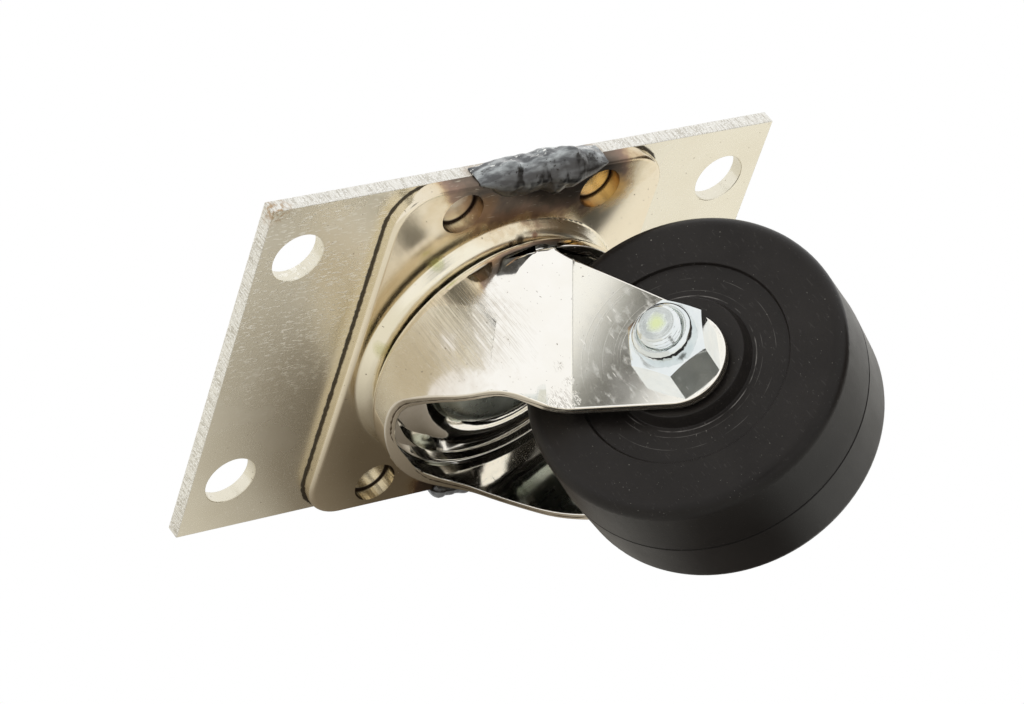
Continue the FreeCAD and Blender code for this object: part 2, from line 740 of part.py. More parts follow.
def make_axle_bolt():
    face = size("leg_face_offset")
    head = chamfered_hexagon("bolt_head", face, size("bolt_head_height"))
    head.Placement = Placement(Vector(0, 0, 0), Rotation(Vector(1, 0, 0), 180))
    radius = size("bolt_radius")
    bevel = size("bolt_tip_bevel")
    tip = face + size("nut_height") + size("bolt_overhang")
    shank = [(0, -face), (radius, -face), (radius, tip - bevel), (radius - bevel, tip), (0, tip)]
    stem = revolved("bolt_shank", polygon_section(shank))
    bolt = fuse("bolt_solid", [head, stem])
    document.recompute()
    return finish(about_axle(bolt), "axle_bolt", turned=True)


def make_axle_nut():
    face = size("leg_face_offset")
    top = face + size("nut_height")
    collar = size("nut_collar_radius")
    bevel = size("nut_collar_bevel")
    body = chamfered_hexagon("nut_hexagon", face, size("nut_hex_height"))
    shoulder = face + size("nut_hex_height") / 2
    ring = [(0, shoulder), (collar, shoulder), (collar, top - bevel), (collar - bevel, top)]
    crown = revolved("nut_collar", polygon_section([*ring, (0, top)]))
    bore = size("bolt_radius") + size("slip_clearance")
    seat_top = top - size("insert_depth")
    seat = seat_top - size("insert_height")
    below = face - 1.0
    above = top + 1.0
    mouth = bore + size("insert_depth")
    hollow = [(0, below), (bore, below), (bore, seat), (size("insert_radius"), seat)]
    hollow += [(size("insert_radius"), seat_top), (mouth, seat_top), (mouth, above), (0, above)]
    threadway = revolved("nut_bore", polygon_section(hollow))
    nut = cut("nut_solid", fuse("nut_blank", [body, crown]), threadway)
    document.recompute()
    return finish(about_axle(nut), "axle_nut", turned=True)


def make_nut_insert():
    snug = size("insert_snugness")
    top = size("leg_face_offset") + size("nut_height") - size("insert_depth")
    low = top - size("insert_height")
    bore = size("bolt_radius") + snug
    outside = size("insert_radius") - snug
    section = [(bore, low), (outside, low), (outside, top), (bore, top)]
    ring = revolved("insert_ring", polygon_section(section))
    return finish(about_axle(ring), "nut_insert", turned=True)


# Weld beads along the two flush edges, each a loft through lumpy round sections


def make_weld_bead(label, side, lumps):
    """lumps is a list of (share, reach, drop, lap): how far a station bulges out, down and in.

    A station's share counts from the middle, and 1 is the near side of an unused hole.
    """
    edge = size("adapter_width") / 2
    hole_centre = size("castor_plate_length") / 2 - size("castor_hole_edge_x")
    to_hole = hole_centre - size("castor_hole_radius")
    root = edge - size("weld_root")
    rise = size("weld_root")
    high = -size("weld_rise")
    skin = 0.3
    wires = []
    for share, reach, drop, lap in lumps:
        out = edge + reach * size("weld_reach")
        under = plate_under - drop
        inner = edge - lap
        points = [(root, high), (edge + skin, high), (out, (high + under) / 2 - skin)]
        points += [(edge, under), (inner, plate_under + skin), (root, plate_under + rise)]
        corners = [Vector(share * to_hole, side * y, z) for y, z in points]
        wires.append(Part.makePolygon(corners + corners[:1]))
    bead = feature(label + "_loft", Part.makeLoft(wires, True, True))
    plates = fuse(label + "_plates", [find("adapter_plate"), find("castor_plate")])
    return finish(cut(label + "_bead", bead, plates), label)


def find(label):
    return next(item for item in finished if item.Label == label)


FRONT_LUMPS = [
    (-1.207, 0.10, 0.2, 0.6),
    (-0.982, 0.45, 1.0, 1.6),
    (-0.582, 0.70, 1.9, 4.6),
    (-0.255, 0.50, 1.4, 4.4),
    (0.145, 0.75, 1.8, 5.2),
    (0.611, 1.00, 2.4, 5.6),
    (0.945, 0.80, 1.8, 3.4),
    (1.200, 0.45, 1.0, 1.6),
    (1.411, 0.10, 0.2, 0.6),
]
REAR_LUMPS = [
    (0.073, 0.10, 0.2, 0.6),
    (0.327, 0.55, 1.1, 2.6),
    (0.655, 0.85, 1.8, 4.6),
    (0.982, 0.60, 1.2, 1.9),
    (1.309, 0.75, 1.4, 1.8),
    (1.636, 0.65, 1.2, 1.8),
    (1.855, 0.50, 1.0, 1.6),
    (2.000, 0.12, 0.2, 0.6),
]

make_adapter_plate()
make_castor_plate()
make_weld_bead("weld_bead_front", -1, FRONT_LUMPS)
make_weld_bead("weld_bead_rear", 1, REAR_LUMPS)
make_king_pin()
make_lower_race_cup()
make_ball_row("upper_ball", upper_race, "upper_ball_radius", upper_ball_level)
make_ball_row("lower_ball", lower_race, "lower_ball_radius", lower_ball_level)
make_fork()
make_wheel()
make_axle_sleeve()
make_axle_bolt()
make_axle_nut()
make_nut_insert()
document.recompute()

for item in document.Objects:
    if "Invalid" in item.State or "Error" in item.State:
        raise RuntimeError(f"{item.Name} did not build: {item.State}")

os.makedirs("parts", exist_ok=True)
for item in finished:
    shape = item.Shape
    if shape.isNull() or not shape.isValid():
        raise RuntimeError(f"{item.Label} is not a valid shape")
    shape.exportStep(f"parts/{item.Label}.step")
    print(f"{item.Label}: {len(shape.Solids)} solid, {shape.Volume / 1000:.2f} cm3")
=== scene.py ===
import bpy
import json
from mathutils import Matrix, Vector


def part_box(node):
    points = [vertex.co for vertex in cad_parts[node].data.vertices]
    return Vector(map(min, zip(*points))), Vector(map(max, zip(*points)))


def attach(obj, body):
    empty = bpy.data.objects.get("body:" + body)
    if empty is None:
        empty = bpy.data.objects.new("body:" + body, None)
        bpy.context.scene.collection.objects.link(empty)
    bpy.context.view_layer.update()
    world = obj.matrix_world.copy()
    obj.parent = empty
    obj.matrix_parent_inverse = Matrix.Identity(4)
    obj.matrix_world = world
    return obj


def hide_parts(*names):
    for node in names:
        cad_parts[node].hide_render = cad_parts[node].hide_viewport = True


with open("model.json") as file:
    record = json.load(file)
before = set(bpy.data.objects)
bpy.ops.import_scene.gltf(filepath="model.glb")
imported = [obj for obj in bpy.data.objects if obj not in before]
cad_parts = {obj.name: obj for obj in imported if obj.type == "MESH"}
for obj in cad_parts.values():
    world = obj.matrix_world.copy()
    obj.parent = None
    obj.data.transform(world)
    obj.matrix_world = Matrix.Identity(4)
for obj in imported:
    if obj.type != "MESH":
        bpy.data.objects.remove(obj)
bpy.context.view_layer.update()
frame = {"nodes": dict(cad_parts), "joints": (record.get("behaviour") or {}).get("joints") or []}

# %% [markdown]
# The object is a swivel castor whose small plate is welded under a larger drilled plate. The
# model hangs under its mounting face, the plane Z = 0. Lengths are in metres, and in millimetres
# where mm() or three() stands round them. The frame knows every joint and every solid, so places
# are read from it where that can be.

# %% Libraries and shared values
import json
import math

import bmesh
import bpy
from mathutils import Matrix, Vector

MM = 0.001
scene = bpy.context.scene
wheel_spin = next(joint for joint in frame["joints"] if joint["name"] == "wheel_spin")
axle_centre = Vector(wheel_spin["pos_m"])
axle_near = Vector(wheel_spin["axis"])
swivel_turn = math.atan2(axle_centre.y, axle_centre.x)
print("axle at", tuple(axle_centre), "swivel turned", round(math.degrees(swivel_turn), 1))

# %% [markdown]
# ## Camera
# The photograph looks up at the castor from below, with a long lens. The three vectors come from
# the corners and holes of the plates. A matrix made of the picture's right, up and backward
# directions puts the camera there without any guessing of angles.

# %% Camera
CAMERA_PLACE = Vector((-0.5831, -0.6219, -0.5987))
LINE_OF_SIGHT = Vector((0.5661, 0.6003, 0.5649)).normalized()
ROUGH_UP = Vector((0.1702, -0.7556, 0.6325))
picture_right = LINE_OF_SIGHT.cross(ROUGH_UP).normalized()
picture_up = picture_right.cross(LINE_OF_SIGHT)
turn = Matrix((picture_right, picture_up, -LINE_OF_SIGHT)).transposed()
camera = bpy.data.objects.new("camera", bpy.data.cameras.new("camera"))
scene.collection.objects.link(camera)
camera.data.lens = 158.03
camera.data.sensor_width = 36.0
camera.data.clip_start = 0.05
camera.data.clip_end = 20.0
camera.matrix_world = Matrix.Translation(CAMERA_PLACE) @ turn.to_4x4()
scene.camera = camera
scene.view_settings.view_transform = "Standard"
print("camera at", tuple(camera.location))

# %% [markdown]
# ## Building node trees
# Every material and every Geometry Nodes tree below is built in code. The first helper adds a
# node and feeds its sockets, and the small ones after it stand for the nodes that do sums.


# %% Node helpers
def add(tree, kind, inputs=None, **settings):
    """Add a node; inputs maps a socket name or number to a value or to an output socket."""
    node = tree.nodes.new(kind)
    for name, value in settings.items():
        setattr(node, name, value)
    for key, value in (inputs or {}).items():
        if isinstance(value, bpy.types.NodeSocket):
            tree.links.new(value, node.inputs[key])
        else:
            node.inputs[key].default_value = value
    return node


def math_node(tree, operation, *values):
    """The output of a Math node."""
    return add(tree, "ShaderNodeMath", dict(enumerate(values)), operation=operation).outputs[0]


def vector_math(tree, operation, *values):
    """The vector that a Vector Math node puts out."""
    inputs = dict(enumerate(values))
    return add(tree, "ShaderNodeVectorMath", inputs, operation=operation).outputs["Vector"]


def measure(tree, operation, *values):
    """The number that a Vector Math node puts out, such as a distance or a length."""
    inputs = dict(enumerate(values))
    return add(tree, "ShaderNodeVectorMath", inputs, operation=operation).outputs["Value"]


def combine(tree, x=0.0, y=0.0, z=0.0):
    """A vector made of three numbers."""
    return add(tree, "ShaderNodeCombineXYZ", {"X": x, "Y": y, "Z": z}).outputs[0]


def noise_at(tree, vector, detail=2.0, roughness=0.5):
    """Noise at a place that is already divided by the wanted size."""
    inputs = {"Vector": vector, "Scale": 1.0, "Detail": detail, "Roughness": roughness}
    return add(tree, "ShaderNodeTexNoise", inputs).outputs[0]


def parts_of(tree, vector):
    """The outputs X, Y and Z of a vector."""
    return add(tree, "ShaderNodeSeparateXYZ", {0: vector}).outputs


print("node helpers ready")

# %% [markdown]
# Most finishes come down to two moves. One stretches a part of a value's range to 0 and 1, which
# makes a mask. The other lets that mask choose between two colours, or among a row of them.


# %% Colour and range helpers
def span(tree, value, low, high, out_low=0.0, out_high=1.0):
    """Value moved from one range to another and kept inside it."""
    inputs = {0: value, 1: low, 2: high, 3: out_low, 4: out_high}
    return add(tree, "ShaderNodeMapRange", inputs, clamp=True).outputs[0]


def mix_colour(tree, share, first, second):
    """The output of a colour Mix node: first where share is 0, second where it is 1."""
    inputs = {0: share, 6: first, 7: second}
    return add(tree, "ShaderNodeMix", inputs, data_type="RGBA").outputs[2]


def ramp(tree, value, stops):
    """A colour ramp from a list of (place, colour)."""
    node = add(tree, "ShaderNodeValToRGB", {0: value})
    elements = node.color_ramp.elements
    while len(elements) > 1:
        elements.remove(elements[0])
    elements[0].position = stops[0][0]
    elements[0].color = (*stops[0][1], 1.0)
    for place, colour in stops[1:]:
        elements.new(place).color = (*colour, 1.0)
    return node.outputs[0]


print("colour helpers ready")

# %% [markdown]
# ## Floor
# The castor stands on a plain pale floor. A box could be a studio too, but the camera is below
# the floor. So it is a single sheet, and Backfacing picks a transparent shader on its underside.


# %% Floor
def stage_plane(name, centre, normal, width, height, material, up_hint=Vector((0, 0, 1))):
    """A rectangle that belongs to the studio and not to the castor."""
    normal = normal.normalized()
    across = up_hint.cross(normal)
    if across.length < 0.01:
        across = Vector((1, 0, 0))
    across.normalize()
    along = normal.cross(across)
    corners = [
        centre + across * sx * width / 2 + along * sy * height / 2
        for sx, sy in ((-1, -1), (1, -1), (1, 1), (-1, 1))
    ]
    mesh = bpy.data.meshes.new(name)
    mesh.from_pydata(corners, [], [(0, 1, 2, 3)])
    mesh.materials.append(material)
    plane = bpy.data.objects.new(name, mesh)
    scene.collection.objects.link(plane)
    return plane


def new_material(name):
    """A material with an empty tree, and its output node."""
    material = bpy.data.materials.new(name)
    material.use_nodes = True
    tree = material.node_tree
    tree.nodes.clear()
    return material, tree, add(tree, "ShaderNodeOutputMaterial")


def one_sided(name, shader):
    """A material whose back lets all through; returns it, its tree and its front's colour socket."""
    material, tree, output = new_material(name)
    front = add(tree, shader)
    through = add(tree, "ShaderNodeBsdfTransparent")
    side = add(tree, "ShaderNodeNewGeometry").outputs["Backfacing"]
    both = add(tree, "ShaderNodeMixShader", {0: side, 1: front.outputs[0], 2: through.outputs[0]})
    tree.links.new(both.outputs[0], output.inputs["Surface"])
    return material, tree, front.inputs["Color"]


floor_paint, tree, paint = one_sided("floor_paint", "ShaderNodeBsdfDiffuse")
paint.default_value = (0.86, 0.86, 0.85, 1)
floor_centre = Vector((0, 0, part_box("wheel")[0].z))
floor = stage_plane("floor", floor_centre, Vector((0, 0, 1)), 4.0, 4.0, floor_paint)
floor.visible_glossy = False
floor.visible_transmission = False
print("floor at z =", round(floor_centre.z, 4))

# %% [markdown]
# ## World
# The background has to be white to the camera and in reflections, yet a white world would wash
# out every shadow. Light Path tells the rays apart, so the same world is softer as a light.

# %% World
WORLD_LIGHT = 0.55
world = bpy.data.worlds.new("studio")
scene.world = world
world.use_nodes = True
sky = world.node_tree
sky.nodes.clear()
path = add(sky, "ShaderNodeLightPath").outputs
seen = math_node(sky, "MAXIMUM", path["Is Camera Ray"], path["Is Glossy Ray"])
seen = math_node(sky, "MAXIMUM", seen, path["Is Transmission Ray"])
strength = math_node(sky, "MULTIPLY_ADD", seen, 1.0 - WORLD_LIGHT, WORLD_LIGHT)
background = add(sky, "ShaderNodeBackground", {"Color": (1, 1, 1, 1), "Strength": strength})
add(sky, "ShaderNodeOutputWorld", {"Surface": background.outputs[0]})
print("the world lights with", WORLD_LIGHT)

# %% [markdown]
# ## Lamps
# Three soft square lamps shape the black plastic, the rim of the wheel above all. They are hidden
# from reflections, because the metal is lit by the cards of the next cells instead. The
# directions of two are given as the picture shows them, in degrees.

# %% Lamps
MIDDLE = Vector((0.0, 0.0, -0.04))


def toward(turn, rise):
    """A direction by degrees: turn from the line of sight to the right, and rise upwards."""
    turn, rise = math.radians(turn), math.radians(rise)
    level = picture_right * math.sin(turn) + LINE_OF_SIGHT * math.cos(turn)
    return level * math.cos(rise) + picture_up * math.sin(rise)


def lamp(name, direction, distance, side, watts):
    """A soft square lamp that looks at the middle of the castor."""
    light = bpy.data.lights.new(name, "AREA")
    light.size = side
    light.energy = watts
    item = bpy.data.objects.new(name, light)
    scene.collection.objects.link(item)
    turn = direction.to_track_quat("Z", "Y").to_matrix()
    item.matrix_world = Matrix.Translation(MIDDLE + direction * distance) @ turn.to_4x4()
    item.visible_glossy = False
    return item


lamp("right_lamp", toward(130, 35), 0.8, 0.5, 7.0)
lamp("left_lamp", toward(-130, 30), 0.9, 0.5, 4.0)
lamp("high_lamp", Vector((0.3, -0.4, 1.0)).normalized(), 1.0, 0.6, 5.0)
print("lamps:", [light.name for light in bpy.data.lights])

# %% [markdown]
# ## Reflection cards
# Bright plated steel shows what stands round it: here a table that is pale on the right and
# shaded on the left, a grey ceiling and a dark corner. A room could be modelled, but glowing cards
# that are seen in reflections only leave the light on the plastic as it is.

# %% Card helpers
TABLE_TILT = math.radians(25)
room_up = picture_up * math.cos(TABLE_TILT) - LINE_OF_SIGHT * math.sin(TABLE_TILT)
room_back = picture_right.cross(room_up)


def card(name, centre, normal, width, height, material):
    """A card that is seen in reflections only."""
    item = stage_plane(name, centre, normal, width, height, material, room_up)
    item.visible_camera = False
    item.visible_diffuse = False
    item.visible_shadow = False
    item.visible_transmission = False
    return item


def place_along(tree, direction, origin):
    """How far a point of a card lies along a direction from an origin, in metres."""
    place = add(tree, "ShaderNodeNewGeometry").outputs["Position"]
    return measure(tree, "DOT_PRODUCT", vector_math(tree, "SUBTRACT", place, origin), direction)


print("room up is", tuple(round(x, 3) for x in room_up))

# %% [markdown]
# The flat leg is a mirror that shows one small patch of the ceiling, white at the bend, then dark
# and white again. The camera's rays are reflected in the leg, and the run of tones is laid
# between the places where they meet the card.

# %% Ceiling card
CEILING_DISTANCE = 1.0
LEG_MIDDLE = Vector((-0.001, -0.030, -0.050))
leg_forward = Vector((math.cos(swivel_turn), math.sin(swivel_turn), 0))


def seen_in_leg(point):
    """Where the camera's ray to a point of the flat leg ends up on the ceiling."""
    ray = (point - CAMERA_PLACE).normalized()
    return point + ray.reflect(axle_near) * CEILING_DISTANCE


leg_start = leg_forward * 0.0112 + axle_near * 0.0231 + Vector((0, 0, -0.042))
leg_end = leg_start + leg_forward * 0.045
to_ceiling = (seen_in_leg(LEG_MIDDLE) - LEG_MIDDLE).normalized()
fade = leg_forward - Vector((0, 0, 1.6))
fade -= axle_near * (fade.dot(to_ceiling) / axle_near.dot(to_ceiling))
fade_run = (seen_in_leg(leg_end) - seen_in_leg(leg_start)).dot(fade)
ceiling_paint, tree, glow = one_sided("ceiling_paint", "ShaderNodeEmission")
leg_tones = [
    (0.00, (1.00, 1.00, 0.97)),
    (0.12, (0.85, 0.84, 0.79)),
    (0.22, (0.46, 0.46, 0.43)),
    (0.32, (0.25, 0.25, 0.225)),
    (0.48, (0.14, 0.14, 0.125)),
    (0.72, (0.065, 0.06, 0.055)),
    (0.86, (0.10, 0.10, 0.095)),
    (1.00, (1.00, 1.00, 0.97)),
]
along_leg = place_along(tree, fade, seen_in_leg(leg_start))
tree.links.new(ramp(tree, span(tree, along_leg, 0.0, fade_run), leg_tones), glow)
card("ceiling_card", seen_in_leg(LEG_MIDDLE), -to_ceiling, 0.20, 0.20, ceiling_paint)
print("the leg's tones run over", round(fade_run, 3), "m of the ceiling")

# %% [markdown]
# Two plain cards are enough for the rest of the room: a dark corner to the right, and a grey shade
# on the camera's side, which the faces of the nut show. One loop makes both.

# %% Dark corner and camera shade
for name, direction, distance, width, height, colour in (
    ("dark_corner", toward(86, 11), 0.6, 0.58, 0.36, (0.08, 0.06, 0.04, 1)),
    ("camera_shade", toward(177, 4), 1.5, 0.42, 0.42, (0.17, 0.17, 0.16, 1)),
):
    material, tree, glow = one_sided(name + "_paint", "ShaderNodeEmission")
    glow.default_value = colour
    card(name, MIDDLE + direction * distance, -direction, width, height, material)
    print(name, "at", tuple(round(x, 2) for x in MIDDLE + direction * distance))

# %% [markdown]
# The plates and the skirt mirror the table. It is brown in the castor's own shade, pale further
# off, almost white on the right, and dark under the wheel. Distances from two points give that.

# %% Table card
SHADE_MIDDLE = (-0.03, -0.03, 0)
WHEEL_SHADE = (0.045, 0.032, 0)
TABLE_DEPTH = 0.0344
table_paint, tree, glow = one_sided("table_paint", "ShaderNodeEmission")
rightwards = place_along(tree, picture_right, MIDDLE)
on_table = combine(tree, rightwards, place_along(tree, room_back, MIDDLE))
table_tones = [
    (0.00, (0.085, 0.068, 0.050)),
    (0.17, (0.110, 0.092, 0.068)),
    (0.36, (0.25, 0.22, 0.18)),
    (0.47, (0.47, 0.44, 0.39)),
    (0.65, (0.66, 0.63, 0.57)),
    (1.00, (0.84, 0.82, 0.76)),
]
reach = measure(tree, "DISTANCE", on_table, SHADE_MIDDLE)
tone = ramp(tree, span(tree, reach, 0.0, 0.09), table_tones)
tone = mix_colour(tree, span(tree, rightwards, 0.015, 0.065), tone, (1.0, 0.98, 0.92, 1))
reach = measure(tree, "DISTANCE", on_table, WHEEL_SHADE)
tone = mix_colour(tree, span(tree, reach, 0.045, 0.015), tone, (0.2, 0.18, 0.16, 1))
tree.links.new(tone, glow)
card("table_card", MIDDLE - room_up * TABLE_DEPTH, room_up, 1.2, 1.2, table_paint)
print("table card", TABLE_DEPTH, "m under the middle of the castor")

# %% [markdown]
# ## Shader groups
# The same few effects come back on every piece: cloudy patches, specks and scratches, soft spots,
# and rings round an axle. Each is a node group with named inputs, built once here and placed in
# the materials with other numbers. Grain is noise whose size is given in metres along each axis.


# %% Grain
def new_group(name, inputs, outputs):
    """An empty shader group; returns it with its input sockets and its output sockets."""
    made = bpy.data.node_groups.new(name, "ShaderNodeTree")
    for label, kind, value in inputs:
        socket = made.interface.new_socket(label, in_out="INPUT", socket_type="NodeSocket" + kind)
        socket.default_value = value
    for label in outputs:
        made.interface.new_socket(label, in_out="OUTPUT", socket_type="NodeSocketFloat")
    return made, add(made, "NodeGroupInput").outputs, add(made, "NodeGroupOutput").inputs


def spaced(inputs):
    """Keyword arguments under the names that sockets have, with spaces for underscores."""
    return {label.replace("_", " "): value for label, value in inputs.items()}


def place_group(tree, made, **inputs):
    """Place a group in a material."""
    return add(tree, "ShaderNodeGroup", spaced(inputs), node_tree=made).outputs


PLACE = ("Vector", "Vector", (0, 0, 0))
SIZE = ("Size", "Vector", (0.001, 0.001, 0.001))
grain, at, out = new_group("grain", [PLACE, SIZE, ("Detail", "Float", 3.0)], ["Value"])
stretched = vector_math(grain, "DIVIDE", at["Vector"], at["Size"])
noise = noise_at(grain, stretched, at["Detail"], 0.55)
grain.links.new(span(grain, noise, 0.25, 0.75), out["Value"])
print("grain has", len(grain.nodes), "nodes")

# %% [markdown]
# Specks are only the peaks of that grain. Equal sizes give dots, and one long side gives dashes
# or hairlines. A spot is a soft round patch whose border the grain makes a little uneven.

# %% Specks and spots
specks, at, out = new_group(
    "specks", [PLACE, SIZE, ("Threshold", "Float", 0.7), ("Softness", "Float", 0.06)], ["Mask"]
)
peaks = place_group(specks, grain, Vector=at["Vector"], Size=at["Size"], Detail=2.0)["Value"]
limit = math_node(specks, "ADD", at["Threshold"], at["Softness"])
specks.links.new(span(specks, peaks, at["Threshold"], limit), out["Mask"])

spot, at, out = new_group(
    "spot",
    [PLACE, ("Centre", "Vector", (0, 0, 0)), ("Radius", "Float", 0.01), ("Softness", "Float", 0.5)],
    ["Mask"],
)
away = measure(spot, "DISTANCE", at["Vector"], at["Centre"])
ripple = place_group(spot, grain, Vector=at["Vector"], Size=(0.003, 0.003, 0.003))["Value"]
away = math_node(spot, "MULTIPLY", away, span(spot, ripple, 0.0, 1.0, 0.75, 1.25))
inner = math_node(spot, "MULTIPLY_ADD", at["Softness"], -1.0, 1.0)
inner = math_node(spot, "MULTIPLY", at["Radius"], inner)
spot.links.new(span(spot, away, at["Radius"], inner), out["Mask"])
print("specks and spot ready")

# %% [markdown]
# Whatever turns on the axle is marked in rings. The group turns the place so that X runs along
# the fork, and gives the distance from the axle, the way along it and a noise drawn out in rings.


# %% Axle rings
def turned_to_fork(tree, vector):
    """A vector as the fork has it: X forwards, and Y along the axle."""
    inputs = {"Vector": vector, "Axis": (0, 0, 1), "Angle": -swivel_turn}
    return add(tree, "ShaderNodeVectorRotate", inputs, rotation_type="AXIS_ANGLE").outputs[0]


axle_rings, at, out = new_group(
    "axle_rings", [PLACE, ("Ring Width", "Float", 0.0005)], ["Radius", "Along", "Rings"]
)
tree = axle_rings
offset = vector_math(tree, "SUBTRACT", at["Vector"], axle_centre)
parts = parts_of(tree, turned_to_fork(tree, offset))
squares = math_node(tree, "MULTIPLY", parts["X"], parts["X"])
squares = math_node(tree, "MULTIPLY_ADD", parts["Z"], parts["Z"], squares)
from_axle = math_node(tree, "SQRT", squares)
turn = math_node(tree, "ARCTAN2", parts["Z"], parts["X"])
slow_turn = math_node(tree, "MULTIPLY", math_node(tree, "SINE", turn), 0.4)
ring_place = math_node(tree, "DIVIDE", from_axle, at["Ring Width"])
ring_noise = noise_at(tree, combine(tree, ring_place, slow_turn))
for label, value in (("Radius", from_axle), ("Along", parts["Y"]), ("Rings", ring_noise)):
    tree.links.new(value, out[label])
print("axle rings have", len(axle_rings.nodes), "nodes")

# %% [markdown]
# Heat tints follow the distance from the weld. Each weld is taken as a straight line, so the
# group finds the nearest place on either line and makes the distance uneven, as a torch does.

# %% Weld distance
WELD_LINE_Y = 0.0475
WELD_LINE_Z = -0.005
WELD_END = 0.004
weld_distance, at, out = new_group("weld_distance", [PLACE], ["Distance"])
tree = weld_distance
along = parts_of(tree, at["Vector"])["X"]
gaps = []
for node, side in (("weld_bead_front", -1), ("weld_bead_rear", 1)):
    low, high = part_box(node)
    start, end = low.x + WELD_END, high.x - WELD_END
    nearest = span(tree, along, start, end, start, end)
    nearest = combine(tree, nearest, side * WELD_LINE_Y, WELD_LINE_Z)
    gaps.append(measure(tree, "DISTANCE", at["Vector"], nearest))
gap = math_node(tree, "MINIMUM", *gaps)
uneven = place_group(tree, grain, Vector=at["Vector"], Size=(0.007, 0.007, 0.007))
uneven = span(tree, uneven["Value"], 0, 1, -1, 1)
gap = math_node(tree, "MULTIPLY_ADD", uneven, 0.0035, gap)
tree.links.new(gap, out["Distance"])
print("shader groups:", [made.name for made in bpy.data.node_groups])

# %% [markdown]
# ## Painting helper
# A material here is a stack: a base colour, then one mark after another laid over it by a mask.
# The helper keeps the colour, the roughness and the bump height together, so that a mark can
# change all three at once, as a real scratch does.


# %% Surface helper
def mm(*values):
    """Millimetres to a vector in metres."""
    return tuple(value * MM for value in values)


def three(value):
    """The same number of millimetres along X, Y and Z."""
    return mm(value, value, value)


class Surface:
    """A metal or plastic finish that is built up by laying marks over it."""

    def __init__(self, name, colour, roughness):
        """Start a material with one colour and one roughness."""
        self.material, self.tree, self.output = new_material(name)
        self.place = add(self.tree, "ShaderNodeTexCoord").outputs["Object"]
        self.colour, self.roughness, self.height = (*colour, 1), roughness, 0.0

    def group(self, made, **inputs):
        """Place a shader group, which reads the piece's own place unless told otherwise."""
        inputs.setdefault("Vector", self.place)
        return place_group(self.tree, made, **inputs)

    def clouds(self, size, detail=3.0):
        """Soft noise from 0 to 1."""
        return self.group(grain, Size=size, Detail=detail)["Value"]

    def dots(self, size, threshold, softness, **more):
        """The peaks of a noise above a threshold."""
        return self.group(specks, Size=size, Threshold=threshold, Softness=softness, **more)["Mask"]

    def patch(self, centre, radius, softness=0.6, **more):
        """A soft round spot."""
        return self.group(spot, Centre=centre, Radius=radius, Softness=softness, **more)["Mask"]

    def math(self, operation, *values):
        """The output of a Math node."""
        return math_node(self.tree, operation, *values)

    def span(self, value, low, high):
        """0 where the value is at low, 1 where it is at high."""
        return span(self.tree, value, low, high)

    def gap(self, first, second):
        """How far two values are apart."""
        return self.math("ABSOLUTE", self.math("SUBTRACT", first, second))

    def both(self, *masks):
        """Where all the masks meet."""
        shared = masks[0]
        for mask in masks[1:]:
            shared = self.math("MULTIPLY", shared, mask)
        return shared

    def lay(self, mask, colour=None, roughness=None, height=None, share=1.0):
        """Lay a mark over what is there: only the things that are given change."""
        if share != 1.0:
            mask = self.math("MULTIPLY", mask, share)
        if colour is not None:
            self.colour = mix_colour(self.tree, mask, self.colour, (*colour, 1))
        if roughness is not None:
            inputs = {0: mask, 2: self.roughness, 3: roughness}
            self.roughness = add(self.tree, "ShaderNodeMix", inputs).outputs[0]
        if height is not None:
            self.height = self.math("MULTIPLY_ADD", mask, height, self.height)

    def finish(self, **settings):
        """The Principled shader with everything that was laid; returns the material."""
        inputs = {"Base Color": self.colour, "Roughness": self.roughness}
        if self.height != 0.0:
            bump = add(self.tree, "ShaderNodeBump", {"Height": self.height, "Distance": 1.0})
            inputs["Normal"] = bump.outputs[0]
        shader = add(self.tree, "ShaderNodeBsdfPrincipled", inputs | spaced(settings))
        self.tree.links.new(shader.outputs[0], self.output.inputs["Surface"])
        print(self.material.name, "has", len(self.tree.nodes), "nodes")
        return self.material


print("surface helper ready")

# %% [markdown]
# ## Steel of the adapter plate
# The large plate is sheared sheet with a thin satin zinc plating. It is covered in short bright
# handling scratches, most of all near one end, with a little dust and a few pits.

# %% Adapter plate sheet
adapter_low, adapter_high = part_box("adapter_plate")
steel = Surface("adapter_steel", (0.78, 0.73, 0.60), 0.22)
steel.lay(steel.clouds(three(16), 4.0), (0.84, 0.80, 0.68), 0.30)
steel.lay(steel.clouds(three(0.5)), height=0.000012)
scratches = steel.dots(mm(1.6, 0.42, 1.0), 0.66, 0.08)
worn_end = steel.patch(mm(-57, -30, -3.6), 0.045)
steel.lay(steel.both(scratches, worn_end), (0.98, 0.95, 0.86), 0.5, 0.00003)
steel.lay(steel.dots(mm(0.9, 0.4, 0.7), 0.80, 0.1), (0.97, 0.94, 0.85), 0.45, share=0.6)
steel.lay(steel.dots(three(0.9), 0.93, 0.05), (0.30, 0.24, 0.17), 0.5, -0.00003, share=0.7)
print("adapter plate from", tuple(adapter_low), "to", tuple(adapter_high))

# %% [markdown]
# The edges of the plate show the hatched marks of the shears. A mask from the plate's own size
# finds them, so nothing has to be painted by hand, and marks that are long along Z do the rest.

# %% Sheared edges
EDGE_SKIN = 0.0002
parts = parts_of(steel.tree, vector_math(steel.tree, "ABSOLUTE", steel.place))
past_x = steel.math("GREATER_THAN", parts["X"], adapter_high.x - EDGE_SKIN)
past_y = steel.math("GREATER_THAN", parts["Y"], adapter_high.y - EDGE_SKIN)
edge = steel.math("MAXIMUM", past_x, past_y)
steel.lay(edge, (0.86, 0.84, 0.78), 0.38)
shear = steel.both(edge, steel.dots(mm(0.45, 0.45, 3.5), 0.42, 0.3))
steel.lay(shear, (0.62, 0.59, 0.52), 0.30, -0.00004)
grit = steel.both(edge, steel.dots(three(0.45), 0.60, 0.1))
steel.lay(grit, (1.0, 0.99, 0.95), 0.5, 0.00003)
print("edges begin", EDGE_SKIN, "m inside the plate's box")

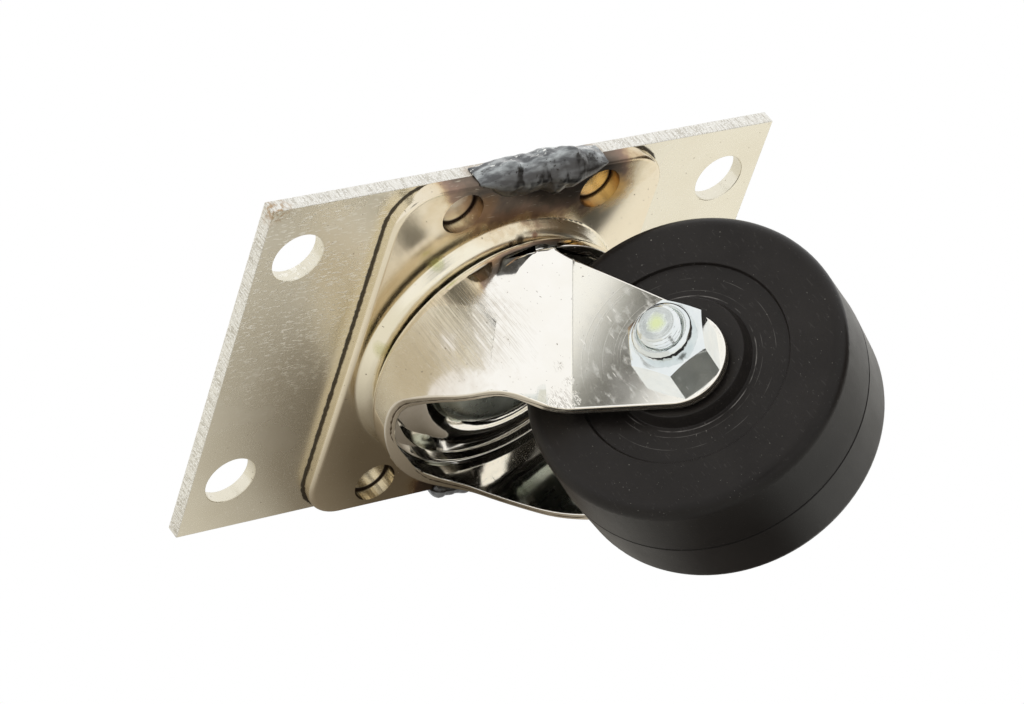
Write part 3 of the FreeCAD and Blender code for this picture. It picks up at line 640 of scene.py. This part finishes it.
# %% [markdown]
# The torch has browned the plate near the beads, and one corner has begun to rust. The brown
# follows the distance from the weld, and the rust is specks kept inside a spot.

# %% Heat and rust
heat = steel.group(weld_distance)["Distance"]
steel.lay(steel.span(heat, 0.0075, 0.0030), (0.32, 0.20, 0.10), 0.4, share=0.85)
steel.lay(steel.span(heat, 0.0040, 0.0015), (0.10, 0.05, 0.03), 0.5, share=0.9)
rust = steel.both(steel.patch(mm(-68.5, -48, -2.6), 0.0048, 0.7), steel.dots(three(0.9), 0.45, 0.25))
steel.lay(rust, (0.46, 0.30, 0.15), 0.5, share=0.8)
print("heat and rust laid")

# %% [markdown]
# Painted shade and dirt darken the crack round the smaller plate and the rims of its unused holes.
# Folding X and Y lets one quarter stand for four, and the distance from a rounded rectangle gives
# the crack. Only the underside has it.

# %% Painted shade and dirt round the castor plate
CASTOR_CORNER = 0.0105
HOLE_FROM_END = 0.01835
HOLE_FROM_SIDE = 0.0077
HOLE_RIM = 0.0052
castor_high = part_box("castor_plate")[1]
tree = steel.tree
flat = vector_math(tree, "MULTIPLY", steel.place, (1, 1, 0))
quarter = vector_math(tree, "ABSOLUTE", flat)
corner_middle = (castor_high.x - CASTOR_CORNER, castor_high.y - CASTOR_CORNER, 0)
beyond = vector_math(tree, "SUBTRACT", quarter, corner_middle)
beyond = vector_math(tree, "MAXIMUM", beyond, (0, 0, 0))
outwards = steel.math("SUBTRACT", measure(tree, "LENGTH", beyond), CASTOR_CORNER)
outwards = steel.math("MULTIPLY_ADD", steel.clouds(three(1.3)), -0.0004, outwards)
# The line round the smaller plate is painted shade in the crack, with some dirt in it.
crack_shade_and_dirt = steel.span(steel.math("ABSOLUTE", outwards), 0.0006, 0.0003)
height = parts_of(tree, steel.place)["Z"]
under = steel.span(height, adapter_low.z + 0.0010, adapter_low.z + 0.0006)
shade_and_dirt = steel.both(crack_shade_and_dirt, steel.math("SUBTRACT", 1.0, edge), under)
steel.lay(shade_and_dirt, (0.035, 0.026, 0.018), 0.7, share=0.9)
hole = (castor_high.x - HOLE_FROM_END, castor_high.y - HOLE_FROM_SIDE, 0)
# The rims of the unused holes are darkened the same way: painted shade in the gap, with dirt.
rim = steel.gap(measure(tree, "DISTANCE", quarter, hole), HOLE_RIM)
rim = steel.span(rim, 0.0008, 0.0003)
steel.lay(steel.both(rim, under), (0.03, 0.02, 0.015), 0.6)
adapter_steel = steel.finish(Metallic=1.0)

# %% [markdown]
# ## Steel of the castor plate
# The smaller plate is smoother and more golden. The race boss pressed out of it is painted paler,
# a painted reflection on its rounded wall, and has fine rings from the turned press tool, which are
# noise on the distance from the pin.

# %% Castor plate sheet
BOSS_EDGE = 0.0358
steel = Surface("castor_steel", (0.80, 0.71, 0.55), 0.13)
steel.lay(steel.clouds(three(14)), (0.86, 0.78, 0.62), 0.19)
from_pin = vector_math(steel.tree, "MULTIPLY", steel.place, (1, 1, 0))
from_pin = measure(steel.tree, "LENGTH", from_pin)
boss = steel.span(from_pin, BOSS_EDGE, BOSS_EDGE - 0.0013)
# The boss is painted paler: a painted reflection, not a colour of the steel.
steel.lay(boss, (0.90, 0.84, 0.68), 0.2)
turning = steel.group(grain, Vector=from_pin, Size=three(0.35))["Value"]
steel.lay(steel.both(boss, turning), height=0.00001)
print("boss edge", BOSS_EDGE, "m from the pin")

# %% [markdown]
# Heat leaves bands that follow the distance from the weld: soot, brown and purple, straw yellow.
# Each row of the first list is one band, from the outside in. The second list holds the marks
# that are there only once: a scorched unused hole whose gold is heat tint and painted highlight,
# old greenish paint, dark nicks.

# %% Castor plate heat and marks
heat = steel.group(weld_distance)["Distance"]
for far, near, colour, share in (
    (0.0185, 0.0135, (0.74, 0.58, 0.34), 0.5),
    (0.0150, 0.0120, (0.50, 0.33, 0.17), 0.7),
    (0.0132, 0.0110, (0.30, 0.19, 0.16), 0.8),
    (0.0120, 0.0080, (0.17, 0.135, 0.105), 0.9),
    (0.0080, 0.0040, (0.085, 0.072, 0.062), 0.85),
):
    steel.lay(steel.span(heat, far, near), colour, 0.3, share=share)
for centre, radius, colour, share in (
    # The first row is heat scorch and a painted gold highlight in the unused hole.
    ((22.5, -39.0, -5.4), 0.0062, (1.0, 0.62, 0.20), 0.9),
    ((-14.0, -41.0, -7.2), 0.0050, (0.34, 0.20, 0.10), 0.6),
    ((-22.9, -27.4, -8.0), 0.0024, (0.62, 0.62, 0.26), 0.7),
    ((-32.2, -5.3, -9.6), 0.0026, (0.60, 0.58, 0.30), 0.6),
    ((-2.4, -32.0, -10.1), 0.0016, (0.06, 0.045, 0.03), 0.9),
    ((-5.0, -31.3, -10.2), 0.0010, (0.08, 0.05, 0.03), 0.9),
    ((1.6, -32.4, -10.0), 0.0011, (0.35, 0.16, 0.10), 0.8),
):
    steel.lay(steel.patch(mm(*centre), radius), colour, 0.35, share=share)
steel.lay(steel.dots(mm(4.0, 0.3, 0.5), 0.86, 0.08), (0.92, 0.85, 0.70), 0.3, share=0.5)
steel.lay(steel.dots(three(0.7), 0.95, 0.03), (0.16, 0.11, 0.07), 0.5, -0.00003, share=0.8)
castor_steel = steel.finish(Metallic=1.0)

# %% [markdown]
# ## Weld metal
# The bead is grey oxide with a glassy skin, in streaks along its run. Bright specks on its crest are
# bare metal and painted glints, and its lower side is painted darker as a painted dark reflection.
# Height tells the crest from the lower side, so both follow Z.

# %% Weld metal
bead = Surface("weld_metal", (0.125, 0.13, 0.135), 0.15)
streaks = bead.span(bead.clouds(mm(7.0, 2.0, 2.0)), 0.35, 0.95)
bead.lay(streaks, (0.56, 0.59, 0.59), 0.22)
bead.lay(bead.clouds(three(0.7)), height=0.00002)
bead.lay(bead.clouds(mm(1.6, 3.0, 3.0)), height=0.00003)
height = parts_of(bead.tree, bead.place)["Z"]
# The lower side of the bead is painted darker: a painted dark reflection.
bead.lay(bead.span(height, -0.0055, -0.0085), (0.07, 0.065, 0.06), 0.4, share=0.8)
# Bright specks on the crest are painted glints as well as bare metal.
crest_glint_and_metal_band = bead.span(height, -0.0055, -0.0030)
glints_and_bare_metal = bead.dots(mm(1.8, 0.9, 0.9), 0.72, 0.1)
bead.lay(bead.both(glints_and_bare_metal, crest_glint_and_metal_band), (0.95, 0.95, 0.90), 0.3)
bead.lay(bead.dots(three(0.8), 0.86, 0.05), (0.05, 0.045, 0.04), 0.6, -0.00004)
weld_metal = bead.finish(Metallic=0.95)

# %% [markdown]
# ## Bright zinc of the fork
# The fork is polished before it is plated, so it mirrors its surroundings. Its wear gives the
# shape away: a brushed patch on the round skirt, and stretch marks where the sheet was pressed
# round the corner of the leg. Each row of the list is one field of lines in the fork's directions.

# %% Fork zinc and brushed fields
BEND_MARKS = ((0.25, 0.30, 0.9), 0.00004, (0.45, 0.42, 0.36))
zinc = Surface("fork_zinc", (0.93, 0.90, 0.83), 0.05)
zinc.lay(zinc.clouds(three(9)), (0.97, 0.95, 0.90), 0.08)
lined_up = turned_to_fork(zinc.tree, zinc.place)
# A painted brown reflection of the plates on the round skirt.
skirt_brown_reflection = zinc.patch(mm(-17, -30, -22), 0.024, 0.8, Vector=lined_up)
zinc.lay(skirt_brown_reflection, (0.68, 0.60, 0.49), 0.08, share=0.85)
for centre, radius, size, height, colour in (
    ((-6.0, -34.0, -24.0), 0.014, (0.32, 3.0, 14.0), 0.00002, (0.52, 0.47, 0.39)),
    ((0.0, -34.4, -30.0), 0.012, (0.2, 3.0, 10.0), 0.00002, (0.62, 0.58, 0.50)),
    ((3.0, -24.8, -50.5), 0.0046, (0.32, 0.32, 2.5), 0.00008, (0.34, 0.30, 0.25)),
    ((7.2, -23.2, -38.0), 0.0016, *BEND_MARKS),
    ((7.2, -23.2, -42.0), 0.0018, *BEND_MARKS),
    ((7.2, -23.2, -46.5), 0.0016, *BEND_MARKS),
):
    field = zinc.patch(mm(*centre), radius, Vector=lined_up)
    lines = zinc.dots(mm(*size), 0.50, 0.14, Vector=lined_up)
    zinc.lay(zinc.both(field, lines), colour, 0.24, height, share=0.5)
print("six brushed fields on the fork")

# %% [markdown]
# The spanner has left arcs and smears on the leg. The rings of the axle group make the arcs, and
# one mask keeps both near the nut. Hairlines and a few nicks are spread over the whole fork.

# %% Fork wear
rings = zinc.group(axle_rings, Ring_Width=0.00035)
near_axle = zinc.span(rings["Radius"], 0.026, 0.020)
arcs = zinc.both(zinc.span(rings["Rings"], 0.62, 0.70), near_axle)
zinc.lay(arcs, (0.97, 0.96, 0.92), 0.16, 0.000001, share=0.35)
smears = zinc.both(zinc.dots(mm(1.2, 2.0, 2.6), 0.55, 0.4, Vector=lined_up), near_axle)
zinc.lay(smears, (0.99, 0.98, 0.95), 0.17, share=0.4)
zinc.lay(zinc.dots(mm(0.4, 0.4, 6.0), 0.90, 0.06), (0.96, 0.94, 0.90), 0.3, 0.000005, share=0.6)
zinc.lay(zinc.dots(three(0.7), 0.95, 0.03), (0.20, 0.16, 0.11), 0.5, -0.00004, share=0.8)
print("wear laid round the axle")

# %% [markdown]
# Where the sheet was cut, its edge has a bright band, a dark line and another bright band. The
# dark line is the torn part of the cut and a painted dark reflection as well.
# The material reads two attributes for that, which a later cell writes on the fork's mesh: one
# marks the cut strips, and one runs from 0 on the outer skin to 1 on the inner skin.

# %% Fork cut edges
cut = add(zinc.tree, "ShaderNodeAttribute", attribute_name="cut_edge").outputs["Fac"]
zinc.lay(cut, (0.90, 0.84, 0.72), 0.2)
across = add(zinc.tree, "ShaderNodeAttribute", attribute_name="across").outputs["Fac"]
off_middle = zinc.math("MULTIPLY_ADD", zinc.clouds(three(2.2)), 0.12, zinc.gap(across, 0.5))
# The dark middle line is the torn part of the cut and a painted dark reflection too.
torn_line_and_dark_reflection = zinc.both(cut, zinc.span(off_middle, 0.16, 0.10))
zinc.lay(torn_line_and_dark_reflection, (0.16, 0.12, 0.08), 0.5, -0.00004)
fork_zinc = zinc.finish(Metallic=1.0)

# %% [markdown]
# ## Fasteners, cup, balls, sleeve and nylon
# Bolt and nut have a bluer zinc, and a dab of yellow green paint on the end of the thread shows
# that the nut was checked. The cup is duller and greener. The small metal pieces share one recipe,
# cloudy with pits, so a function begins them all.


# %% Small materials
def small_metal(name, first, second, roughness, cloud):
    """A cloudy metal with small dark pits; returns the open surface."""
    surface = Surface(name, first, roughness)
    surface.lay(surface.clouds(three(cloud)), second, roughness + 0.08)
    pits = surface.dots(three(0.6), 0.93, 0.05)
    surface.lay(pits, (0.2, 0.2, 0.18), 0.5, -0.00002, share=0.7)
    return surface


zinc = small_metal("fastener_zinc", (0.74, 0.79, 0.80), (0.86, 0.89, 0.88), 0.09, 4.0)
rings = zinc.group(axle_rings, Ring_Width=0.0003)
zinc.lay(rings["Rings"], height=0.000008)
thread_face = zinc.span(rings["Along"], -0.0346, -0.0352)
dab = zinc.patch(tuple(axle_centre + axle_near * 0.0357), 0.0026, 0.7)
zinc.lay(zinc.both(dab, thread_face), (0.76, 0.84, 0.42), 0.35, 0.00005, share=0.85)
fastener_zinc = zinc.finish(Metallic=1.0)
race_zinc, ball_steel, sleeve_steel = (
    small_metal(*values).finish(Metallic=1.0)
    for values in (
        ("race_zinc", (0.42, 0.46, 0.42), (0.58, 0.62, 0.57), 0.24, 4.0),
        ("ball_steel", (0.66, 0.66, 0.64), (0.78, 0.78, 0.76), 0.08, 1.5),
        ("sleeve_steel", (0.55, 0.55, 0.53), (0.68, 0.68, 0.66), 0.25, 4.0),
    )
)
nylon = Surface("insert_nylon", (0.62, 0.66, 0.60), 0.4)
nylon.lay(nylon.clouds(three(1.2)), (0.72, 0.75, 0.70), 0.5, 0.00002)
insert_nylon = nylon.finish(Subsurface_Weight=0.1)

# %% [markdown]
# ## Black plastic of the wheel
# The wheel is one moulding of black polypropylene with a satin skin. Turning on the axle has left
# faint rings on the web and thin pale scratches round the hub, and a mould seam runs round the
# middle of the tread. Rings and seam come from the distances that the axle group puts out.

# %% Wheel plastic
TREAD_BEGINS = 0.036
plastic = Surface("wheel_plastic", (0.0085, 0.0070, 0.0062), 0.30)
plastic.lay(plastic.clouds(three(12), 4.0), (0.0135, 0.0115, 0.0102), 0.40)
plastic.lay(plastic.clouds(three(0.35), 2.0), height=0.000012)
rings = plastic.group(axle_rings, Ring_Width=0.0006)
plastic.lay(rings["Rings"], height=0.00002)
broken = plastic.span(plastic.clouds(three(5), 2.0), 0.35, 0.7)
for radius, width, share in ((0.0169, 0.00016, 0.8), (0.0183, 0.0001, 0.35), (0.0214, 0.0001, 0.3)):
    off = plastic.gap(rings["Radius"], radius)
    scratch = plastic.both(plastic.span(off, width, width / 3), broken)
    plastic.lay(scratch, (0.16, 0.15, 0.14), 0.5, share=share)
seam = plastic.span(plastic.math("ABSOLUTE", rings["Along"]), 0.0005, 0.0002)
tread = plastic.math("GREATER_THAN", rings["Radius"], TREAD_BEGINS)
plastic.lay(plastic.both(seam, tread), (0.006, 0.005, 0.005), 0.5)
plastic.lay(plastic.dots(mm(0.5, 0.5, 2.2), 0.80, 0.05), (0.030, 0.027, 0.025), 0.5, share=0.5)
plastic.lay(plastic.dots(three(0.5), 0.97, 0.03), (0.20, 0.19, 0.17), 0.6, share=0.7)
wheel_plastic = plastic.finish(Specular_IOR_Level=0.20)

# %% [markdown]
# ## Copies of the solids
# The frame's meshes are loose triangles. A copy with its points merged can be shaded smooth over
# its curves and sharp at its edges. Each copy is handed to the body it rides on and stands in for
# its solid.


# %% Copy helpers
def merged_copy(node):
    """A copy of a CAD node's mesh with its points merged."""
    mesh = frame["nodes"][node].data.copy()
    mesh.name = node + "_finish"
    shape = bmesh.new()
    shape.from_mesh(mesh)
    bmesh.ops.remove_doubles(shape, verts=shape.verts, dist=1e-6)
    bmesh.ops.dissolve_degenerate(shape, edges=shape.edges, dist=1e-6)
    bmesh.ops.recalc_face_normals(shape, faces=shape.faces)
    shape.to_mesh(mesh)
    shape.free()
    return mesh


def piece(name, mesh, body, material, slot, *replaced):
    """Add a finished mesh to the castor: body, material and what it stands for. The slot is not
    used.
    """
    item = bpy.data.objects.new(name, mesh)
    scene.collection.objects.link(item)
    mesh.materials.clear()
    mesh.materials.append(material)
    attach(item, body)
    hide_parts(*replaced)
    print(name, "has", len(mesh.polygons), "faces")
    return item


print("copy helpers ready")

# %% [markdown]
# A fine bevel gives cut sheet the thin line of light that real edges have. It needs clean edges
# to follow, so the triangles of flat areas are joined first. A Weighted Normal modifier then lets
# the large faces decide the shading, which keeps flat areas flat.


# %% Shading helpers
def join_flats(mesh):
    """Dissolve the diagonals of flat areas."""
    shape = bmesh.new()
    shape.from_mesh(mesh)
    limit = math.radians(0.5)
    bmesh.ops.dissolve_limit(shape, angle_limit=limit, verts=shape.verts, edges=shape.edges)
    shape.to_mesh(mesh)
    shape.free()


def shade(item, sharp_degrees, bevel=0.0):
    """Smooth faces that are sharp past an angle or get a two-step bevel there."""
    item.data.polygons.foreach_set("use_smooth", [True] * len(item.data.polygons))
    item.data.set_sharp_from_angle(angle=math.radians(sharp_degrees))
    if bevel:
        edges = item.modifiers.new("worn_edges", "BEVEL")
        edges.width = bevel
        edges.segments = 2
        edges.limit_method = "ANGLE"
        edges.angle_limit = math.radians(30)
        edges.use_clamp_overlap = False
        edges.harden_normals = True
    even = item.modifiers.new("even_shading", "WEIGHTED_NORMAL")
    even.keep_sharp = True
    even.weight = 100


print("shading helpers ready")

# %% [markdown]
# ## The sheared edge of the fork
# The two attributes that the fork's material reads are written here. Sharp edges part the mesh
# into patches. The two largest are the outer and the inner skin, and a patch whose area is small
# for the length of its border is a cut strip between them.


# %% Cut edge attributes
def patches_between(shape, sharp_degrees):
    """Groups of faces that are bounded by sharp edges, and each face's group number."""
    limit = math.radians(sharp_degrees)
    number = {}
    groups = []
    for first in shape.faces:
        if first in number:
            continue
        members, waiting = [], [first]
        number[first] = len(groups)
        while waiting:
            face = waiting.pop()
            members.append(face)
            for edge in face.edges:
                if edge.calc_face_angle(math.pi) > limit:
                    continue
                for other in edge.link_faces:
                    if other not in number:
                        number[other] = len(groups)
                        waiting.append(other)
        groups.append(members)
    return groups, number


def mark_cut_edges(mesh, sheet):
    """Write the attributes cut_edge and across, from the width of each patch of faces."""
    shape = bmesh.new()
    shape.from_mesh(mesh)
    groups, number = patches_between(shape, 28)
    areas = [sum(face.calc_area() for face in members) for members in groups]
    inner, outer = sorted(range(len(groups)), key=areas.__getitem__)[-2:]
    narrow = set()
    for index, members in enumerate(groups):
        border = sum(
            edge.calc_length()
            for face in members
            for edge in face.edges
            if any(number[other] != index for other in edge.link_faces)
        )
        if areas[index] < sheet * 0.75 * border:
            narrow.add(index)
    narrow -= {inner, outer}
    is_cut = [1.0 if number[face] in narrow else 0.0 for face in shape.faces]
    across = []
    for vertex in shape.verts:
        touched = {number[face] for face in vertex.link_faces}
        across.append(0.0 if outer in touched else 1.0 if inner in touched else 0.5)
    shape.free()
    mesh.attributes.new("cut_edge", "FLOAT", "FACE").data.foreach_set("value", is_cut)
    mesh.attributes.new("across", "FLOAT", "POINT").data.foreach_set("value", across)
    print(mesh.name, "has", len(groups), "patches,", len(narrow), "of them cut edges")


FORK_SHEET = 0.0027
fork_mesh = merged_copy("fork")
mark_cut_edges(fork_mesh, FORK_SHEET)

# %% [markdown]
# ## Plates, fork, wheel and fasteners
# The CAD shapes are right, so each copy only gets its finish, its shading and its worn edges. The
# number is the bevel's width. Without one, an edge is sharp from 28 degrees on, and from 12 on
# the nut, whose chamfer meets its flats at a low angle.

# %% Finished copies
for node, body, material, slot, bevel in (
    ("adapter_plate", "root", adapter_steel, "adapter_steel", 0.00022),
    ("castor_plate", "root", castor_steel, "castor_plate_steel", 0.0),
    ("king_pin", "root", race_zinc, "race_zinc", 0.0),
    ("lower_race_cup", "root", race_zinc, "race_zinc", 0.0),
    ("fork", "fork", fork_zinc, "fork_zinc", 0.0004),
    ("axle_sleeve", "fork", sleeve_steel, "fastener_zinc", 0.0),
    ("axle_nut", "fork", fastener_zinc, "fastener_zinc", 0.0),
    ("nut_insert", "fork", insert_nylon, "insert_nylon", 0.0),
    ("wheel", "wheel", wheel_plastic, "wheel_plastic", 0.0002),
):
    mesh = fork_mesh if node == "fork" else merged_copy(node)
    if bevel:
        join_flats(mesh)
    item = piece(node + "_finish", mesh, body, material, slot, node)
    shade(item, 180 if bevel else 12 if node == "axle_nut" else 28, bevel)

# %% [markdown]
# ## Geometry Nodes
# Balls, thread and weld skin follow a rule, so each is a Geometry Nodes tree with named inputs.
# The helper runs a tree once, with its inputs set by the sockets' identifiers, and keeps the
# plain mesh, because the finished castor holds no live trees.


# %% Geometry Nodes helpers
def geometry_tree(name, inputs):
    """A tree with named inputs; returns it with its input sockets."""
    tree = bpy.data.node_groups.new(name, "GeometryNodeTree")
    tree.interface.new_socket("Geometry", in_out="INPUT", socket_type="NodeSocketGeometry")
    tree.interface.new_socket("Geometry", in_out="OUTPUT", socket_type="NodeSocketGeometry")
    for label, value in inputs.items():
        kind = "NodeSocketInt" if isinstance(value, int) else "NodeSocketFloat"
        tree.interface.new_socket(label, in_out="INPUT", socket_type=kind).default_value = value
    tree.interface.new_socket("Material", in_out="INPUT", socket_type="NodeSocketMaterial")
    return tree, add(tree, "NodeGroupInput").outputs


def geometry(tree, kind, **inputs):
    """The output of a geometry node."""
    return add(tree, "GeometryNode" + kind, spaced(inputs)).outputs[0]


def close_tree(tree, at, result):
    """End a tree with smooth faces, real instances and the material."""
    smooth = geometry(tree, "SetShadeSmooth", Geometry=result)
    real = geometry(tree, "RealizeInstances", Geometry=smooth)
    painted = geometry(tree, "SetMaterial", Geometry=real, Material=at["Material"])
    add(tree, "NodeGroupOutput", {"Geometry": painted})


def scaled(tree, vector, factor):
    """A vector times a number."""
    inputs = {0: vector, "Scale": factor}
    return add(tree, "ShaderNodeVectorMath", inputs, operation="SCALE").outputs[0]


def grow(tree, name, values, start=None, voxel=0.0):
    """Run a tree on a mesh and return the result as a plain mesh."""
    seed = bpy.data.objects.new(name + "_seed", start or bpy.data.meshes.new(name + "_seed"))
    scene.collection.objects.link(seed)
    if voxel:
        skin = seed.modifiers.new("even_skin", "REMESH")
        skin.mode = "VOXEL"
        skin.voxel_size = voxel
        seed.modifiers.new("flow", "SMOOTH").iterations = 14
    modifier = seed.modifiers.new("rule", "NODES")
    modifier.node_group = tree
    for item in tree.interface.items_tree:
        if item.item_type == "SOCKET" and item.in_out == "INPUT" and item.name in values:
            modifier[item.identifier] = values[item.name]
    graph = bpy.context.evaluated_depsgraph_get()
    mesh = bpy.data.meshes.new_from_object(seed.evaluated_get(graph), depsgraph=graph)
    mesh.name = name
    seed.modifiers.clear()
    bpy.data.objects.remove(seed)
    return mesh


print("geometry helpers ready")

# %% [markdown]
# ## Two rows of balls
# The fork turns on a large row of balls between plate and crown, and a small row between crown
# and cup. One ball is placed on every point of a circle. The places are read from the frame, so
# the balls lie exactly where the solid balls are.

# %% Balls
sizes = {"Row Radius": 0.02, "Level": -0.01, "First Angle": 0.0, "Ball Radius": 0.003, "Count": 21}
rows, at = geometry_tree("ball_row", sizes)
circle = geometry(rows, "MeshCircle", Vertices=at["Count"], Radius=at["Row Radius"])
lift, turn = combine(rows, z=at["Level"]), combine(rows, z=at["First Angle"])
circle = geometry(rows, "Transform", Geometry=circle, Translation=lift, Rotation=turn)
ball = geometry(rows, "MeshIcoSphere", Radius=at["Ball Radius"], Subdivisions=4)
close_tree(rows, at, geometry(rows, "InstanceOnPoints", Points=circle, Instance=ball))

for row in ("upper", "lower"):
    nodes = sorted(name for name in frame["nodes"] if name.startswith(row + "_ball"))
    low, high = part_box(nodes[0])
    centre = (low + high) / 2
    widest = max(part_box(name)[1].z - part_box(name)[0].z for name in nodes)
    values = {
        "Row Radius": math.hypot(centre.x, centre.y),
        "Level": centre.z,
        "First Angle": math.atan2(centre.y, centre.x),
        "Ball Radius": widest / 2,
        "Count": len(nodes),
        "Material": ball_steel,
    }
    name = row + "_balls_finish"
    mesh = grow(rows, name, values)
    piece(name, mesh, row + "_balls", ball_steel, "ball_steel", *nodes)
    print(row, "row:", len(nodes), "balls of", round(widest / MM, 2), "mm")

# %% [markdown]
# ## Skin of the weld beads
# A bead is laid along the edge and cools in lumps and ripples. The CAD bead gives its run. The
# tree swells an even skin outwards by a noise, little at the thin end and most past the middle,
# and holds it below the mounting face and inside the castor's own size.

# %% Weld skin rule
sizes = {
    "Swell": 0.0012,
    "Lump": 0.0085,
    "Ripple": 0.0024,
    "Top": -0.0002,
    "Reach": 0.0530,
    "Thin End": -0.022,
    "Thick Part": 0.005,
    "Far End": 0.021,
}
skin, at = geometry_tree("weld_skin", sizes)
place = geometry(skin, "InputPosition")
waves = []
for width, share in (("Lump", 0.88), ("Ripple", 0.12)):
    wide = math_node(skin, "MULTIPLY", at[width], 1.6)
    size = combine(skin, at[width], wide, wide)
    wave = noise_at(skin, vector_math(skin, "DIVIDE", place, size))
    waves.append(math_node(skin, "MULTIPLY", wave, share))
depth = span(skin, math_node(skin, "ADD", *waves), 0.3, 0.65)
depth = math_node(skin, "MULTIPLY", depth, at["Swell"])
along = parts_of(skin, place)["X"]
rise = span(skin, along, at["Thin End"], at["Thick Part"], 0.1, 2.0)
fall = span(skin, along, at["Far End"], at["Thick Part"], 0.0, 1.0)
depth = math_node(skin, "MULTIPLY", depth, math_node(skin, "MULTIPLY", rise, fall))
swell = scaled(skin, geometry(skin, "InputNormal"), depth)
grown = vector_math(skin, "ADD", place, swell)
low_end = combine(skin, -1.0, math_node(skin, "MULTIPLY", at["Reach"], -1.0), -1.0)
high_end = combine(skin, 1.0, at["Reach"], at["Top"])
kept = vector_math(skin, "MAXIMUM", vector_math(skin, "MINIMUM", grown, high_end), low_end)
moved = geometry(skin, "SetPosition", Geometry=at["Geometry"], Position=kept)
close_tree(skin, at, moved)
print("weld skin has", len(skin.nodes), "nodes")

# %% [markdown]
# The rule runs on both beads. Its start is a Remesh of the solid, because a noise needs points
# that lie evenly. In front the bolt reaches further than the bead, so there the skin has room.

# %% Weld beads
for node in ("weld_bead_front", "weld_bead_rear"):
    low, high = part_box(node)
    values = {"Reach": sizes["Reach"] if low.y < 0 else high.y, "Material": weld_metal}
    mesh = grow(skin, node + "_finish", values, merged_copy(node), 0.0003)
    piece(node + "_finish", mesh, "root", weld_metal, "weld_metal", node)

# %% [markdown]
# ## Thread of the axle bolt
# A thread is a cylinder whose radius follows a zigzag that climbs one pitch each turn. A screw
# modifier could sweep a profile, but this sum makes a closed rod at once, with its tip bevelled.

# %% Thread rule
BOLT_CUT = 0.0300
sizes = {
    "Radius": 0.00493,
    "Depth": 0.0006,
    "Pitch": 0.00125,
    "Start": BOLT_CUT,
    "Tip": 0.0357,
    "Tip Bevel": 0.0009,
}
screw, at = geometry_tree("thread_end", sizes)
length = math_node(screw, "SUBTRACT", at["Tip"], at["Start"])
counts = {"Vertices": 72, "Side_Segments": 64, "Fill_Segments": 1}
rod = geometry(screw, "MeshCylinder", Radius=1.0, Depth=length, **counts)
middle = math_node(screw, "MULTIPLY", math_node(screw, "ADD", at["Tip"], at["Start"]), 0.5)
rod = geometry(screw, "Transform", Geometry=rod, Translation=combine(screw, z=middle))
parts = parts_of(screw, geometry(screw, "InputPosition"))
turn = math_node(screw, "ARCTAN2", parts["Y"], parts["X"])
turn = math_node(screw, "DIVIDE", turn, 2 * math.pi)
climb = math_node(screw, "SUBTRACT", math_node(screw, "DIVIDE", parts["Z"], at["Pitch"]), turn)
groove = span(screw, math_node(screw, "PINGPONG", climb, 0.5), 0.06, 0.42)
groove = math_node(screw, "MULTIPLY", groove, at["Depth"])
radius = math_node(screw, "SUBTRACT", at["Radius"], groove)
to_tip = math_node(screw, "SUBTRACT", at["Tip"], parts["Z"])
cone = math_node(screw, "SUBTRACT", at["Radius"], at["Tip Bevel"])
radius = math_node(screw, "MINIMUM", radius, math_node(screw, "ADD", cone, to_tip))
place = scaled(screw, combine(screw, parts["X"], parts["Y"]), radius)
place = vector_math(screw, "ADD", place, combine(screw, z=parts["Z"]))
close_tree(screw, at, geometry(screw, "SetPosition", Geometry=rod, Position=place))
print("thread has", len(screw.nodes), "nodes")

# %% [markdown]
# ## Axle bolt
# The bolt's plain end is cut off inside the nut, where nobody sees the cut. The hole is closed
# with one face, and the threaded rod is joined to the same mesh and turned onto the axle.

# %% Bolt
thread = grow(screw, "thread_turns", {"Material": fastener_zinc})
turn = axle_near.to_track_quat("Z", "Y").to_matrix()
thread.transform(Matrix.Translation(axle_centre) @ turn.to_4x4())
bolt = merged_copy("axle_bolt")
shape = bmesh.new()
shape.from_mesh(bolt)
everything = [*shape.verts, *shape.edges, *shape.faces]
cut_at = axle_centre + axle_near * (BOLT_CUT + 0.0002)
parted = bmesh.ops.bisect_plane(
    shape, geom=everything, plane_co=cut_at, plane_no=axle_near, clear_outer=True
)
rim = [item for item in parted["geom_cut"] if isinstance(item, bmesh.types.BMEdge)]
bmesh.ops.contextual_create(shape, geom=rim)
shape.from_mesh(thread)
bmesh.ops.recalc_face_normals(shape, faces=shape.faces)
shape.to_mesh(bolt)
shape.free()
item = piece("axle_bolt_finish", bolt, "fork", fastener_zinc, "fastener_zinc", "axle_bolt")
shade(item, 12)
